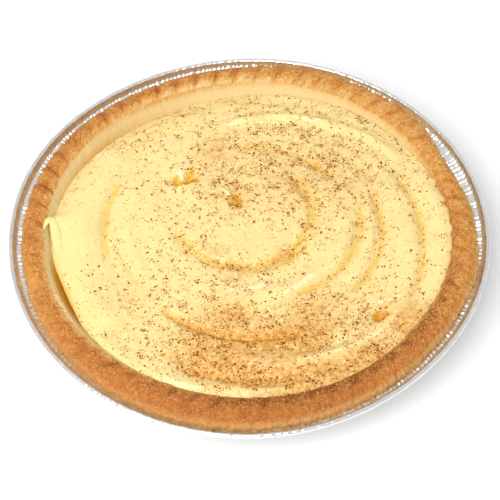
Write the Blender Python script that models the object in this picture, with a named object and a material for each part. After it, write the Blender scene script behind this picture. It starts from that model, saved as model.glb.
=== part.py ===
"""A custard tart dusted with cinnamon, in a shortcrust case and a round foil dish.

Units are metres and +Z is up. The origin is under the middle of the dish, on the
surface that it stands on. Angles are in degrees, counterclockwise from +X as seen
from above, and -Y is the near side.
"""

import math
import random
from dataclasses import dataclass

import bmesh
import bpy
from mathutils import Euler, Vector

MM = 0.001
GAP = 0.3 * MM

# Plain finishes: colour, roughness, metallic.
FOIL_FINISH = ((0.80, 0.80, 0.79), 0.25, 1.0)
SHORTCRUST_FINISH = ((0.62, 0.28, 0.075), 0.75, 0.0)
CUSTARD_FINISH = ((0.98, 0.82, 0.33), 0.4, 0.0)

# Edges that bend by more than these angles are shaded sharp.
FOIL_SHARP_ANGLE = 25.0
CRUST_SHARP_ANGLE = 35.0
CUSTARD_SHARP_ANGLE = 75.0

# Foil dish
DISH_RADIUS = 111.0 * MM
FOIL_THICKNESS = 0.35 * MM
BEAD_RADIUS = 1.1 * MM
BEAD_HEIGHT = 27.0 * MM
BASE_RADIUS = 84.0 * MM
WALL_TOP_RADIUS = 103.6 * MM
WALL_TOP_HEIGHT = 24.0 * MM
LEDGE_RADIUS = 107.8 * MM
LEDGE_HEIGHT = 25.0 * MM
PLEATS = 144
PLEAT_DEPTH = 0.45 * MM
BEAD_STEPS = 96
BEAD_SIDES = 7
BEAD_ARC = (-150.0, 185.0)

# The bent rim is out of round by these waves: number round, crest angle, height.
RIM_WAVES = (
    (3, 27.0, 0.47 * MM),
    (4, -14.0, 0.25 * MM),
    (5, -1.0, 0.14 * MM),
    (6, -25.0, 0.11 * MM),
)

# Pastry case
CRUST_EDGE_RADIUS = 104.8 * MM
CRUST_EDGE_LIMIT = 108.2 * MM
CRUST_LIP_RADIUS = 94.3 * MM
CRUST_LIP_HEIGHT = 28.0 * MM
CRUST_WALL_SLOPE = math.radians(56.0)
CRUST_FOOT_HEIGHT = 7.2 * MM
CRUST_FLOOR_HEIGHT = 5.6 * MM
CRUST_FLOOR_CORNER = 2.0 * MM
CRUST_OVERHANG_SETBACK = 1.1 * MM
CRUST_OVERHANG_GAP = 0.45 * MM
CRUST_SHOULDER_HEIGHT = 24.7 * MM
CRUST_SEED = 7
CRIMPS = 60
STEPS_PER_CRIMP = 4
CRIMP_DEPTH = 0.65 * MM
CRIMP_SLANT = math.radians(0.26) / MM
CRUST_ROUGHNESS = 0.25 * MM
CASE_STEPS = 60

# Where the case's outer edge spreads or shrinks: angle, half width, amount.
CRUST_SPREADS = (
    (19.0, 11.0, -2.8 * MM),
    (42.0, 12.0, 2.3 * MM),
    (70.0, 15.0, 3.2 * MM),
    (120.0, 25.0, -0.6 * MM),
    (258.0, 38.0, 1.4 * MM),
    (344.0, 7.0, 1.5 * MM),
)

# Where its inner lip stands in or out: the near side of the rim is the widest.
LIP_SPREADS = ((257.0, 46.0, -2.4 * MM),)

# Custard
CUSTARD_GAP = 0.45 * MM
CUSTARD_LEVEL = 24.3 * MM
CUSTARD_DOME = 1.0 * MM
CUSTARD_SHOULDER = 13.0 * MM
EDGE_LEVEL = 24.8 * MM
EDGE_ROLL = 1.6 * MM
CUSTARD_STEPS = 120
SWIRL_DEPTH = 1.3 * MM
RING_SPACING = 4.4 * MM

# Rings wider than each radius have the full number of points, a half or a quarter.
RING_THINNING = ((40.0 * MM, 1), (18.0 * MM, 2), (7.0 * MM, 4))
MOST_THINNING = 8

# How far the custard's edge stands above or below its level: angle, half width, rise.
EDGE_SWELLS = (
    (118.0, 45.0, -4.2 * MM),
    (175.0, 2.6, 2.6 * MM),
    (250.0, 40.0, 0.7 * MM),
    (355.0, 24.0, 2.4 * MM),
)

# The crevice where the custard has shrunk from the case: angle, half width, depth.
CREVICE = (202.0, 11.0, 2.3 * MM)

# Cinnamon flecks
FLECKS = 36
FLECK_SPACING = 8.0 * MM
FLECK_MARGIN = 9.0 * MM
FLECK_HALF_LENGTHS = (0.9, 1.4)
FLECK_HALF_WIDTHS = (0.55, 0.8)
FLECK_HALF_HEIGHTS = (0.6, 0.8)
FLECK_SEED = 11


@dataclass(frozen=True)
class Stroke:
    """A ridge (rise > 0) or a groove (rise < 0) that the spoon left in the custard."""

    start: float
    end: float
    start_radius: float
    end_radius: float
    half_width: float
    rise: float
    fade: float = 16.0


STROKES = (
    Stroke(138, 224, 78.0, 80.0, 9.0, 1.9, 7.0),
    Stroke(142, 214, 59.0, 54.0, 5.5, 0.8),
    Stroke(150, 205, 46.0, 39.0, 5.5, 0.5),
    Stroke(245, 378, 37.5, 45.0, 5.0, 1.1),
    Stroke(318, 382, 54.0, 57.5, 3.5, 0.7),
    Stroke(325, 388, 72.0, 70.0, 6.0, 0.8),
    Stroke(258, 312, 68.0, 83.0, 3.6, 1.5),
    Stroke(304, 366, 83.0, 75.5, 3.8, 0.9),
    Stroke(235, 300, 88.0, 87.0, 3.5, 0.8),
    Stroke(328, 386, 88.5, 87.0, 3.6, 0.7),
    Stroke(24, 106, 85.0, 65.0, 3.4, 1.3),
    Stroke(96, 138, 62.0, 60.0, 6.0, 0.5),
    Stroke(60, 118, 28.0, 31.0, 4.0, 0.5),
    Stroke(142, 202, 69.0, 66.5, 2.7, -1.1),
    Stroke(178, 214, 62.0, 57.0, 2.7, -0.6),
    Stroke(172, 254, 35.0, 20.2, 3.0, -1.0),
    Stroke(236, 334, 20.0, 24.0, 3.4, -1.5),
    Stroke(318, 424, 23.5, 38.0, 3.4, -1.2),
    Stroke(290, 380, 42.0, 54.5, 2.7, -1.1),
    Stroke(314, 386, 59.0, 62.5, 2.7, -1.0),
    Stroke(322, 394, 83.0, 77.0, 2.7, -0.9),
    Stroke(226, 292, 58.5, 60.5, 2.7, -1.3, 8.0),
    Stroke(234, 302, 77.0, 88.0, 3.6, -0.8),
    Stroke(58, 126, 72.0, 57.0, 3.0, -0.6),
    Stroke(16, 66, 66.0, 64.0, 3.2, -0.5),
    Stroke(28, 104, 50.0, 52.0, 3.4, -0.5),
)


@dataclass(frozen=True)
class Pit:
    """A hollow that the spoon tip tore: its place, sizes along and across, and depth."""

    angle: float
    radius: float
    length: float
    width: float
    depth: float
    turn: float


PITS = (
    Pit(133.0, 44.0, 6.5, 3.2, 2.4, 12.0),
    Pit(107.0, 19.0, 5.0, 3.6, 1.6, 95.0),
    Pit(318.5, 77.0, 3.4, 2.8, 2.4, 50.0),
    Pit(51.0, 51.0, 3.0, 1.8, 1.0, 130.0),
)

# Soft lumps over the whole custard: number of waves, shortest and longest, height.
LUMP_WAVES = 9
LUMP_LENGTHS = (14.0 * MM, 34.0 * MM)
LUMP_HEIGHT = 0.11 * MM
LUMP_SEED = 3


def smooth_step(value):
    """Ease from 0 to 1 as value goes from 0 to 1, and stay there outside."""
    held = min(max(value, 0.0), 1.0)
    return held * held * (3.0 - 2.0 * held)


def turn_between(angle, centre):
    """The signed turn from centre to angle, in degrees, from -180 to 180."""
    return (angle - centre + 180.0) % 360.0 - 180.0


def bumps(angle, rows):
    """The sum at angle of the rounded bumps in rows of (centre, half width, amount)."""
    return sum(
        amount * math.exp(-((turn_between(angle, centre) / half_width) ** 2))
        for centre, half_width, amount in rows
    )


def rim_bend(angle):
    """How far the bent rim stands out of round at an angle in degrees."""
    return sum(
        height * math.cos(count * math.radians(angle - crest))
        for count, crest, height in RIM_WAVES
    )


def place(radius, angle, height):
    """A point of the tart: every piece bends with the rim, more towards the top."""
    share = min(max(height / LEDGE_HEIGHT, 0.0), 1.0)
    bent = radius + share * rim_bend(angle) * (radius / DISH_RADIUS)
    turn = math.radians(angle)
    return Vector((bent * math.cos(turn), bent * math.sin(turn), height))


def add_ring(mesh, steps, point_at):
    """Add a ring of steps points, where point_at(number) gives each one's place."""
    return [mesh.verts.new(point_at(number)) for number in range(steps)]


def join_rings(mesh, first, second):
    """Fill the strip between two rings, which may have different numbers of points."""
    low = 0
    high = 0
    while low < len(first) or high < len(second):
        corner = first[low % len(first)]
        across = second[high % len(second)]
        if (low + 1) * len(second) <= (high + 1) * len(first):
            low += 1
            mesh.faces.new((corner, first[low % len(first)], across))
        else:
            high += 1
            mesh.faces.new((corner, second[high % len(second)], across))


def join_all(mesh, rings):
    """Fill the strips between rings that run from the underside out, up and over."""
    for first, second in zip(rings, rings[1:]):
        join_rings(mesh, first, second)


def make_object(name, mesh, material, sharp_angle):
    """Turn a closed bmesh into a smooth-shaded object with its own material."""
    bmesh.ops.recalc_face_normals(mesh, faces=mesh.faces)
    data = bpy.data.meshes.new(name)
    mesh.to_mesh(data)
    mesh.free()
    data.materials.append(material)
    data.shade_smooth()
    data.set_sharp_from_angle(angle=math.radians(sharp_angle))
    item = bpy.data.objects.new(name, data)
    bpy.context.scene.collection.objects.link(item)
    return item


def make_material(name, colour, roughness, metallic):
    """A plain finish with the piece's colour."""
    material = bpy.data.materials.new(name)
    material.use_nodes = True
    shader = material.node_tree.nodes["Principled BSDF"]
    shader.inputs["Base Color"].default_value = (*colour, 1.0)
    shader.inputs["Roughness"].default_value = roughness
    shader.inputs["Metallic"].default_value = metallic
    return material


def unit(radial, upward):
    """The unit vector of a direction in the profile's plane."""
    length = math.hypot(radial, upward)
    return radial / length, upward / length


def mitred(before, point, after, distance):
    """The point at a distance to the left of a profile's corner."""
    first = unit(point[0] - before[0], point[1] - before[1])
    second = unit(after[0] - point[0], after[1] - point[1])
    radial, upward = unit(-first[1] - second[1], first[0] + second[0])
    stretch = distance / (-first[1] * radial + first[0] * upward)
    return point[0] + radial * stretch, point[1] + upward * stretch, radial, upward


def pleated_ring(mesh, before, point, after, distance, depth):
    """A ring that zigzags across the foil's sheet, on one of the sheet's faces."""
    radius, height, radial, upward = mitred(before, point, after, distance)

    def point_at(number):
        """Ridges and valleys take turns."""
        swing = depth if number % 2 else -depth
        angle = 360.0 * number / (2 * PLEATS)
        return place(radius + radial * swing, angle, height + upward * swing)

    return add_ring(mesh, 2 * PLEATS, point_at)


def plain_ring(mesh, steps, radius, height):
    """A round ring at one height."""
    return add_ring(mesh, steps, lambda number: place(radius, 360.0 * number / steps, height))


def bead_rings(mesh):
    """The rolled rim, as rings from its joint under the collar, round, to its inside."""
    centre = DISH_RADIUS - BEAD_RADIUS
    rings = []
    for side in range(BEAD_SIDES + 1):
        turn = math.radians(BEAD_ARC[0] + (BEAD_ARC[1] - BEAD_ARC[0]) * side / BEAD_SIDES)
        radius = centre + BEAD_RADIUS * math.cos(turn)
        rings.append(plain_ring(mesh, BEAD_STEPS, radius, BEAD_HEIGHT + BEAD_RADIUS * math.sin(turn)))
    return rings


def build_foil_dish(material):
    """A thin pressed dish: flat base, pleated wall and ledge, collar and rolled bead."""
    mesh = bmesh.new()
    half = FOIL_THICKNESS / 2
    base = (BASE_RADIUS, 0.0)
    wall_top = (WALL_TOP_RADIUS, WALL_TOP_HEIGHT)
    ledge = (LEDGE_RADIUS, LEDGE_HEIGHT)
    bead = (DISH_RADIUS - 2 * BEAD_RADIUS, BEAD_HEIGHT - BEAD_RADIUS / 2)
    outside = plain_ring(mesh, 2 * PLEATS, BASE_RADIUS, 0.0)
    inside = plain_ring(mesh, 2 * PLEATS, BASE_RADIUS - half, FOIL_THICKNESS)
    rings = [
        outside,
        pleated_ring(mesh, base, wall_top, ledge, -half, PLEAT_DEPTH),
        pleated_ring(mesh, wall_top, ledge, bead, -half, PLEAT_DEPTH),
        *bead_rings(mesh),
        pleated_ring(mesh, wall_top, ledge, bead, half, PLEAT_DEPTH),
        pleated_ring(mesh, base, wall_top, ledge, half, PLEAT_DEPTH),
        inside,
    ]
    join_all(mesh, rings)
    mesh.faces.new(reversed(outside))
    mesh.faces.new(inside)
    return make_object("foil_dish", mesh, material, FOIL_SHARP_ANGLE)


def lip_radius(angle):
    """The radius of the case's inner lip."""
    return CRUST_LIP_RADIUS + bumps(angle, LIP_SPREADS)


def case_wall_radius(height, angle):
    """The radius of the case's inner wall at a height."""
    return lip_radius(angle) - (CRUST_LIP_HEIGHT - height) / math.tan(CRUST_WALL_SLOPE)


def wall_ring(mesh, steps, height, inset, start=0.0):
    """A ring along the case's inner wall at a height, or an inset inside it."""

    def point_at(number):
        """The wall follows the lip in and out."""
        angle = start + 360.0 * number / steps
        return place(case_wall_radius(height, angle) - inset, angle, height)

    return add_ring(mesh, steps, point_at)


def foil_wall_radius(height):
    """The radius of the case's outer wall at a height, clear of the dish's pleats."""
    run = WALL_TOP_RADIUS - BASE_RADIUS
    clearance = (FOIL_THICKNESS + PLEAT_DEPTH + GAP) * math.hypot(run, WALL_TOP_HEIGHT) / WALL_TOP_HEIGHT
    return BASE_RADIUS + height * run / WALL_TOP_HEIGHT - clearance


def over_ledge_height(radius):
    """The height of the case's underside over the dish's ledge, clear of its pleats."""
    rise = (LEDGE_HEIGHT - WALL_TOP_HEIGHT) / (LEDGE_RADIUS - WALL_TOP_RADIUS)
    outward = max(radius - WALL_TOP_RADIUS, 0.0)
    return WALL_TOP_HEIGHT + outward * rise + FOIL_THICKNESS / 2 + PLEAT_DEPTH + CRUST_OVERHANG_GAP


def crust_edge_radius(angle):
    """The radius of the case's outer edge, which spreads unevenly."""
    return min(CRUST_EDGE_RADIUS + bumps(angle, CRUST_SPREADS), CRUST_EDGE_LIMIT)


def crimp_slant(radius):
    """How far a crimp has turned by a radius, in degrees, as the crimps lie aslant."""
    held = min(max(radius, CRUST_LIP_RADIUS), CRUST_EDGE_LIMIT)
    return math.degrees(CRIMP_SLANT * (CRUST_EDGE_LIMIT - held))


@dataclass(frozen=True)
class RimLine:
    """One line round the case's rim: its place across the rim, and how crimps mark it.

    across is 0 at the outer edge and 1 at the inner lip, and rise is the line's height
    above the lip in millimetres. push and sink are how far a crease moves the line
    outwards and down, in crimp depths.
    """

    across: float
    rise: float
    push: float
    sink: float


RIM_LINES = (
    RimLine(0.00, -0.8, -0.7, 0.2),
    RimLine(0.16, 0.9, -0.3, 0.7),
    RimLine(0.45, 2.2, 0.0, 1.0),
    RimLine(0.80, 1.5, 0.2, 1.0),
    RimLine(1.00, 0.0, 0.4, 0.4),
)


def rim_ring(mesh, line, rng):
    """One ring of the crimped rim, with a little unevenness."""
    steps = CRIMPS * STEPS_PER_CRIMP
    lip_slant = crimp_slant(CRUST_LIP_RADIUS)

    def point_at(number):
        """A crease takes one step in each crimp, and its sides slope to the next."""
        crease = ((1.0 + math.cos(math.tau * number / STEPS_PER_CRIMP)) / 2.0) ** 3
        plain_angle = 360.0 * number / steps
        edge = crust_edge_radius(plain_angle)
        radius = edge + (lip_radius(plain_angle + lip_slant) - edge) * line.across
        uneven = CRUST_ROUGHNESS * (1.0 - line.across)
        radius += CRIMP_DEPTH * line.push * crease + rng.uniform(-uneven, 0.3 * uneven)
        height = CRUST_LIP_HEIGHT + line.rise * MM - CRIMP_DEPTH * line.sink * crease
        height += rng.uniform(-uneven, uneven) * math.sin(math.pi * line.across)
        return place(radius, plain_angle + crimp_slant(radius), height)

    return add_ring(mesh, steps, point_at)


def build_pastry_case(material):
    """The shortcrust case: floor, sloping wall and a crimped rim over the dish's ledge."""
    mesh = bmesh.new()
    rng = random.Random(CRUST_SEED)
    underside = FOIL_THICKNESS + GAP
    steps = CRIMPS * STEPS_PER_CRIMP
    lip_slant = crimp_slant(CRUST_LIP_RADIUS)

    def overhang(number):
        """The underside of the rim, a little inside its outer edge."""
        angle = 360.0 * number / steps
        radius = crust_edge_radius(angle) - CRUST_OVERHANG_SETBACK
        return place(radius, angle + crimp_slant(radius), over_ledge_height(radius))

    bottom = plain_ring(mesh, CASE_STEPS, foil_wall_radius(underside), underside)
    foot = wall_ring(mesh, CASE_STEPS, CRUST_FOOT_HEIGHT, 0.0, lip_slant)
    floor = wall_ring(mesh, CASE_STEPS, CRUST_FLOOR_HEIGHT, CRUST_FLOOR_CORNER, lip_slant)
    rings = [
        bottom,
        plain_ring(mesh, CASE_STEPS, foil_wall_radius(CRUST_SHOULDER_HEIGHT) - GAP, CRUST_SHOULDER_HEIGHT),
        add_ring(mesh, steps, overhang),
        *[rim_ring(mesh, line, rng) for line in RIM_LINES],
        foot,
        floor,
    ]
    join_all(mesh, rings)
    mesh.faces.new(reversed(bottom))
    mesh.faces.new(floor)
    return make_object("pastry_case", mesh, material, CRUST_SHARP_ANGLE)


def stroke_rise(stroke, radius, angle):
    """What one stroke adds to the custard's height, in swirl depths."""
    span = stroke.end - stroke.start
    along = (angle - stroke.start) % 360.0
    if along > span:
        return 0.0
    ends = smooth_step(along / stroke.fade) * smooth_step((span - along) / stroke.fade)
    centre = stroke.start_radius + (stroke.end_radius - stroke.start_radius) * along / span
    return stroke.rise * ends * math.exp(-(((radius / MM - centre) / stroke.half_width) ** 2))


def pit_depth(pit, radius, angle):
    """How deep one pit is at a place, in swirl depths."""
    turn = math.radians(angle)
    centre = math.radians(pit.angle)
    offset_x = radius / MM * math.cos(turn) - pit.radius * math.cos(centre)
    offset_y = radius / MM * math.sin(turn) - pit.radius * math.sin(centre)
    axis = math.radians(pit.turn)
    along = offset_x * math.cos(axis) + offset_y * math.sin(axis)
    across = offset_y * math.cos(axis) - offset_x * math.sin(axis)
    return pit.depth * math.exp(-((along / pit.length) ** 2) - (across / pit.width) ** 2)


def make_lumps():
    """The waves of the custard's soft lumps: direction, length and phase."""
    rng = random.Random(LUMP_SEED)
    return [
        (rng.uniform(0.0, math.tau), rng.uniform(*LUMP_LENGTHS), rng.uniform(0.0, math.tau))
        for _ in range(LUMP_WAVES)
    ]


LUMPS = make_lumps()


def lump_rise(radius, angle):
    """What the soft lumps add to the custard's height."""
    x = radius * math.cos(math.radians(angle))
    y = radius * math.sin(math.radians(angle))
    return sum(
        LUMP_HEIGHT * math.sin(math.tau * (x * math.cos(way) + y * math.sin(way)) / length + phase)
        for way, length, phase in LUMPS
    )


def edge_height(angle):
    """The height at which the custard meets the case."""
    return EDGE_LEVEL + bumps(angle, EDGE_SWELLS)


def edge_radius(angle):
    """The radius of the custard's top edge."""
    return case_wall_radius(edge_height(angle), angle) - CUSTARD_GAP - bumps(angle, (CREVICE,))


def custard_height(radius, angle):
    """The height of the custard's top, from its edge over the swirls to its middle."""
    inward = edge_radius(angle) - radius
    middle = CUSTARD_LEVEL + CUSTARD_DOME * (1.0 - (radius / CRUST_LIP_RADIUS) ** 2)
    base = edge_height(angle) + (middle - edge_height(angle)) * smooth_step(inward / CUSTARD_SHOULDER)
    swirls = sum(stroke_rise(stroke, radius, angle) for stroke in STROKES)
    swirls -= sum(pit_depth(pit, radius, angle) for pit in PITS)
    held = smooth_step(inward / (2.0 * EDGE_ROLL))
    roll = EDGE_ROLL * (1.0 - math.exp(-inward / EDGE_ROLL))
    return base + roll + (swirls * SWIRL_DEPTH + lump_rise(radius, angle)) * held


def custard_ring(mesh, steps, share):
    """A ring of the custard's top, at a share of the way out to its edge."""

    def point_at(number):
        """Rings keep the edge's outline, smaller."""
        angle = 360.0 * number / steps
        radius = edge_radius(angle) * share
        return place(radius, angle, custard_height(radius, angle))

    return add_ring(mesh, steps, point_at)


def ring_steps(radius):
    """How many points a ring needs: fewer towards the middle."""
    for limit, divisor in RING_THINNING:
        if radius > limit:
            return CUSTARD_STEPS // divisor
    return CUSTARD_STEPS // MOST_THINNING


def build_custard(material):
    """The custard: a solid filling with a swirled top, low at the far side."""
    mesh = bmesh.new()
    floor = CRUST_FLOOR_HEIGHT + GAP
    foot = CRUST_FOOT_HEIGHT + GAP

    def side(number):
        """The custard's side under its top edge, along the case's wall."""
        angle = 360.0 * number / CUSTARD_STEPS
        height = edge_height(angle) - 2.0 * EDGE_ROLL
        return place(case_wall_radius(height, angle) - CUSTARD_GAP, angle, height)

    bottom = wall_ring(mesh, CUSTARD_STEPS // 2, floor, CRUST_FLOOR_CORNER + CUSTARD_GAP)
    rings = [
        bottom,
        wall_ring(mesh, CUSTARD_STEPS // 2, foot, CUSTARD_GAP),
        add_ring(mesh, CUSTARD_STEPS, side),
    ]
    count = round(CRUST_LIP_RADIUS / RING_SPACING)
    for number in range(count):
        share = 1.0 - number / count
        rings.append(custard_ring(mesh, ring_steps(share * CRUST_LIP_RADIUS), share))
    join_all(mesh, rings)
    mesh.faces.new(reversed(bottom))
    peak = mesh.verts.new(place(0.0, 0.0, custard_height(0.0, 0.0)))
    for first, second in zip(rings[-1], rings[-1][1:] + rings[-1][:1]):
        mesh.faces.new((first, second, peak))
    return make_object("custard_filling", mesh, material, CUSTARD_SHARP_ANGLE)


# Where the cinnamon fell: angle, radius, half width in millimetres, share.
DUSTED = (
    (45.0, 50.0, 26.0, 1.0),
    (95.0, 34.0, 20.0, 0.7),
    (275.0, 66.0, 22.0, 1.0),
    (310.0, 72.0, 20.0, 1.0),
    (0.0, 60.0, 30.0, 0.4),
    (230.0, 66.0, 22.0, 0.5),
)
DUST_EVERYWHERE = 0.08


def dust_share(radius, angle):
    """How thickly the cinnamon lies at a place, from 0 to 1."""
    turn = math.radians(angle)
    spot = Vector((radius / MM * math.cos(turn), radius / MM * math.sin(turn)))
    total = DUST_EVERYWHERE
    for centre, distance, half_width, share in DUSTED:
        way = math.radians(centre)
        middle = Vector((distance * math.cos(way), distance * math.sin(way)))
        total += share * math.exp(-((spot - middle).length / half_width) ** 2)
    return min(total, 1.0)


def fleck_spots(rng):
    """Where the largest flecks lie: more where the cinnamon is thick, never crowded."""
    spots = []
    while len(spots) < FLECKS:
        angle = rng.uniform(0.0, 360.0)
        radius = (CRUST_LIP_RADIUS - FLECK_MARGIN) * math.sqrt(rng.random())
        wanted = rng.random() < dust_share(radius, angle)
        spot = place(radius, angle, custard_height(radius, angle))
        if wanted and all((spot - other).length > FLECK_SPACING for other in spots):
            spots.append(spot)
    return spots


def add_flecks(custard):
    """Fuse the largest flecks of cinnamon to the custard's top."""
    rng = random.Random(FLECK_SEED)
    flecks = bpy.data.collections.new("flecks")
    bpy.context.scene.collection.children.link(flecks)
    for number, spot in enumerate(fleck_spots(rng)):
        mesh = bmesh.new()
        bmesh.ops.create_icosphere(mesh, subdivisions=1, radius=1.0)
        data = bpy.data.meshes.new("fleck_mesh_%d" % number)
        halves = (FLECK_HALF_LENGTHS, FLECK_HALF_WIDTHS, FLECK_HALF_HEIGHTS)
        size = Vector([rng.uniform(*limits) for limits in halves]) * MM
        turn = Euler((0.0, 0.0, rng.uniform(0.0, math.pi))).to_matrix()
        for corner in mesh.verts:
            stretched = Vector(part * scale for part, scale in zip(corner.co, size))
            corner.co = turn @ stretched + spot
        mesh.to_mesh(data)
        mesh.free()
        flecks.objects.link(bpy.data.objects.new("fleck_%d" % number, data))
    union = custard.modifiers.new("flecks", "BOOLEAN")
    union.operation = "UNION"
    union.solver = "EXACT"
    union.operand_type = "COLLECTION"
    union.collection = flecks
    settled = bpy.data.meshes.new_from_object(custard.evaluated_get(bpy.context.evaluated_depsgraph_get()))
    custard.modifiers.clear()
    custard.data = settled
    for item in list(flecks.objects):
        bpy.data.objects.remove(item)
    bpy.data.collections.remove(flecks)


def main():
    """Clear the scene and build the dish, the case and the custard."""
    for item in list(bpy.data.objects):
        bpy.data.objects.remove(item)
    build_foil_dish(make_material("foil", *FOIL_FINISH))
    build_pastry_case(make_material("shortcrust", *SHORTCRUST_FINISH))
    custard = build_custard(make_material("custard", *CUSTARD_FINISH))
    add_flecks(custard)


main()
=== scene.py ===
"""The looks of a custard tart dusted with cinnamon, in a shortcrust case and a foil dish.

Units are metres, +Z is up and -Y is the near side. Angles are in degrees, counterclockwise
from +X as seen from above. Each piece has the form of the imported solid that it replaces,
worked out from the same sizes, and adds what is too fine for the solid: the foil's narrow
pleats, the crust's crumb, the spoon's creases in the custard, and the cinnamon powder.
"""

import logging
import math
import random
from dataclasses import dataclass, field
from enum import Enum

import bpy
import numpy as np
from mathutils import Matrix, Vector, noise


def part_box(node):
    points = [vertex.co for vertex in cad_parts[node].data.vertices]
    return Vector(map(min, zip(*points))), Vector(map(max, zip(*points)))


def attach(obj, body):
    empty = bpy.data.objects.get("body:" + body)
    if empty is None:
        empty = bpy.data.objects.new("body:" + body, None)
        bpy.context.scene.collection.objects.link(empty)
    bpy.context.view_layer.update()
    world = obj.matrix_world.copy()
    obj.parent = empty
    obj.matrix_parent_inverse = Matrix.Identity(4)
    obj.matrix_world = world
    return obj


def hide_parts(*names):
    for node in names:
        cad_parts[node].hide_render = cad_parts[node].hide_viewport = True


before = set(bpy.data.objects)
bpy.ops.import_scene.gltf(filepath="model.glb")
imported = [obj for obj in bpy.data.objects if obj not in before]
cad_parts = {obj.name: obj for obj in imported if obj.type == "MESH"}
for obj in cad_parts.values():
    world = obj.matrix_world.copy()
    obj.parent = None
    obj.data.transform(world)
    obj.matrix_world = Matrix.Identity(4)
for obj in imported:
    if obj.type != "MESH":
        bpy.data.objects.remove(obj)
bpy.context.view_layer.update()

MM = 0.001
BODY = "root"

Array = np.ndarray
Colour = tuple[float, float, float]
Bump = tuple[float, float, float]
Drift = tuple[float, float, float, float]
Row = tuple[float, float, float, float]

# A mottle's size, detail, contrast and seed, or the spacing, width, share and seed of grains.
Pattern = tuple[float, float, float, float]

log = logging.getLogger("custard_tart")


class Node(Enum):
    """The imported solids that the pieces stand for."""

    DISH = "foil_dish"
    CASE = "pastry_case"
    FILLING = "custard_filling"


class Slot(Enum):
    """The record's material slots."""

    FOIL = "foil"
    SHORTCRUST = "shortcrust"
    CUSTARD = "custard"


def smooth_step(value: Array | float) -> Array:
    """Ease from 0 to 1 as value goes from 0 to 1, and stay there outside."""
    held = np.clip(value, 0.0, 1.0)
    return held * held * (3.0 - 2.0 * held)


def turn_between(angle: Array, centre: float) -> Array:
    """The signed turn from centre to angle, in degrees, from -180 to 180."""
    return (angle - centre + 180.0) % 360.0 - 180.0


def spot_at(radius: Array | float, angle: Array, height: Array | float) -> Array:
    """The point at a radius, an angle in degrees and a height, with x, y and z last."""
    turn = np.radians(angle)
    return np.stack(np.broadcast_arrays(radius * np.cos(turn), radius * np.sin(turn), height), axis=-1)


def bumps(angle: Array, rows: tuple[Bump, ...]) -> Array:
    """Add up rounded bumps round the tart.

    Args:
        angle: where to read them, in degrees.
        rows: each bump's centre, half width and amount.

    Returns:
        The sum of the bumps at each angle.
    """
    total = np.zeros_like(np.asarray(angle, float))
    for centre, half_width, amount in rows:
        total = total + amount * np.exp(-((turn_between(angle, centre) / half_width) ** 2))
    return total


def drifts(radius: Array, angle: Array, rows: tuple[Drift, ...]) -> Array:
    """Add up round patches on the tart's top.

    Args:
        radius: where to read them, in metres.
        angle: where to read them, in degrees.
        rows: each patch's angle, radius and half width in millimetres, and amount.

    Returns:
        The sum of the patches at each place.
    """
    turn = np.radians(angle)
    across = radius / MM * np.cos(turn)
    away = radius / MM * np.sin(turn)
    total = np.zeros_like(np.asarray(across, float))
    for centre, distance, half_width, amount in rows:
        way = math.radians(centre)
        gap = (across - distance * math.cos(way)) ** 2 + (away - distance * math.sin(way)) ** 2
        total = total + amount * np.exp(-gap / half_width**2)
    return total


def noise_at(points: Array, wavelength: float, octaves: int, seed: float) -> Array:
    """Read soft fractal noise.

    Args:
        points: places in metres, with x, y and z last.
        wavelength: the size of the largest lumps, in metres.
        octaves: how many finer layers are added up.
        seed: moves the pattern, so that two of them differ.

    Returns:
        A value from about -1 to 1 at each point.
    """
    flat = points.reshape(-1, 3) / wavelength + seed
    values = [noise.fractal(Vector(spot), 1.0, 2.0, octaves) for spot in flat]
    return np.array(values).reshape(points.shape[:-1])


def curve_through(known: Array, values: Array, wanted: Array) -> Array:
    """Draw a smooth curve through known values.

    Args:
        known: rising places at which the values are known.
        values: the value at each of them.
        wanted: where to read the curve.

    Returns:
        The curve's value at each wanted place.
    """
    known = np.asarray(known, float)
    values = np.asarray(values, float)
    slopes = np.gradient(values, known)
    left = np.clip(np.searchsorted(known, wanted, side="right") - 1, 0, len(known) - 2)
    width = known[left + 1] - known[left]
    share = np.clip((wanted - known[left]) / width, 0.0, 1.0)
    rise = values[left + 1] - values[left]
    bend = (1.0 - share) * slopes[left] * width - share * slopes[left + 1] * width
    twist = (2.0 * share - 1.0) * rise
    return values[left] + rise * share + share * (1.0 - share) * (bend + twist)


def linear(red: int, green: int, blue: int) -> Colour:
    """Turn a display colour, from 0 to 255 each, into the linear one that shaders use."""
    parts = (value / 255.0 for value in (red, green, blue))
    return tuple(p / 12.92 if p <= 0.04045 else ((p + 0.055) / 1.055) ** 2.4 for p in parts)


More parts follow.
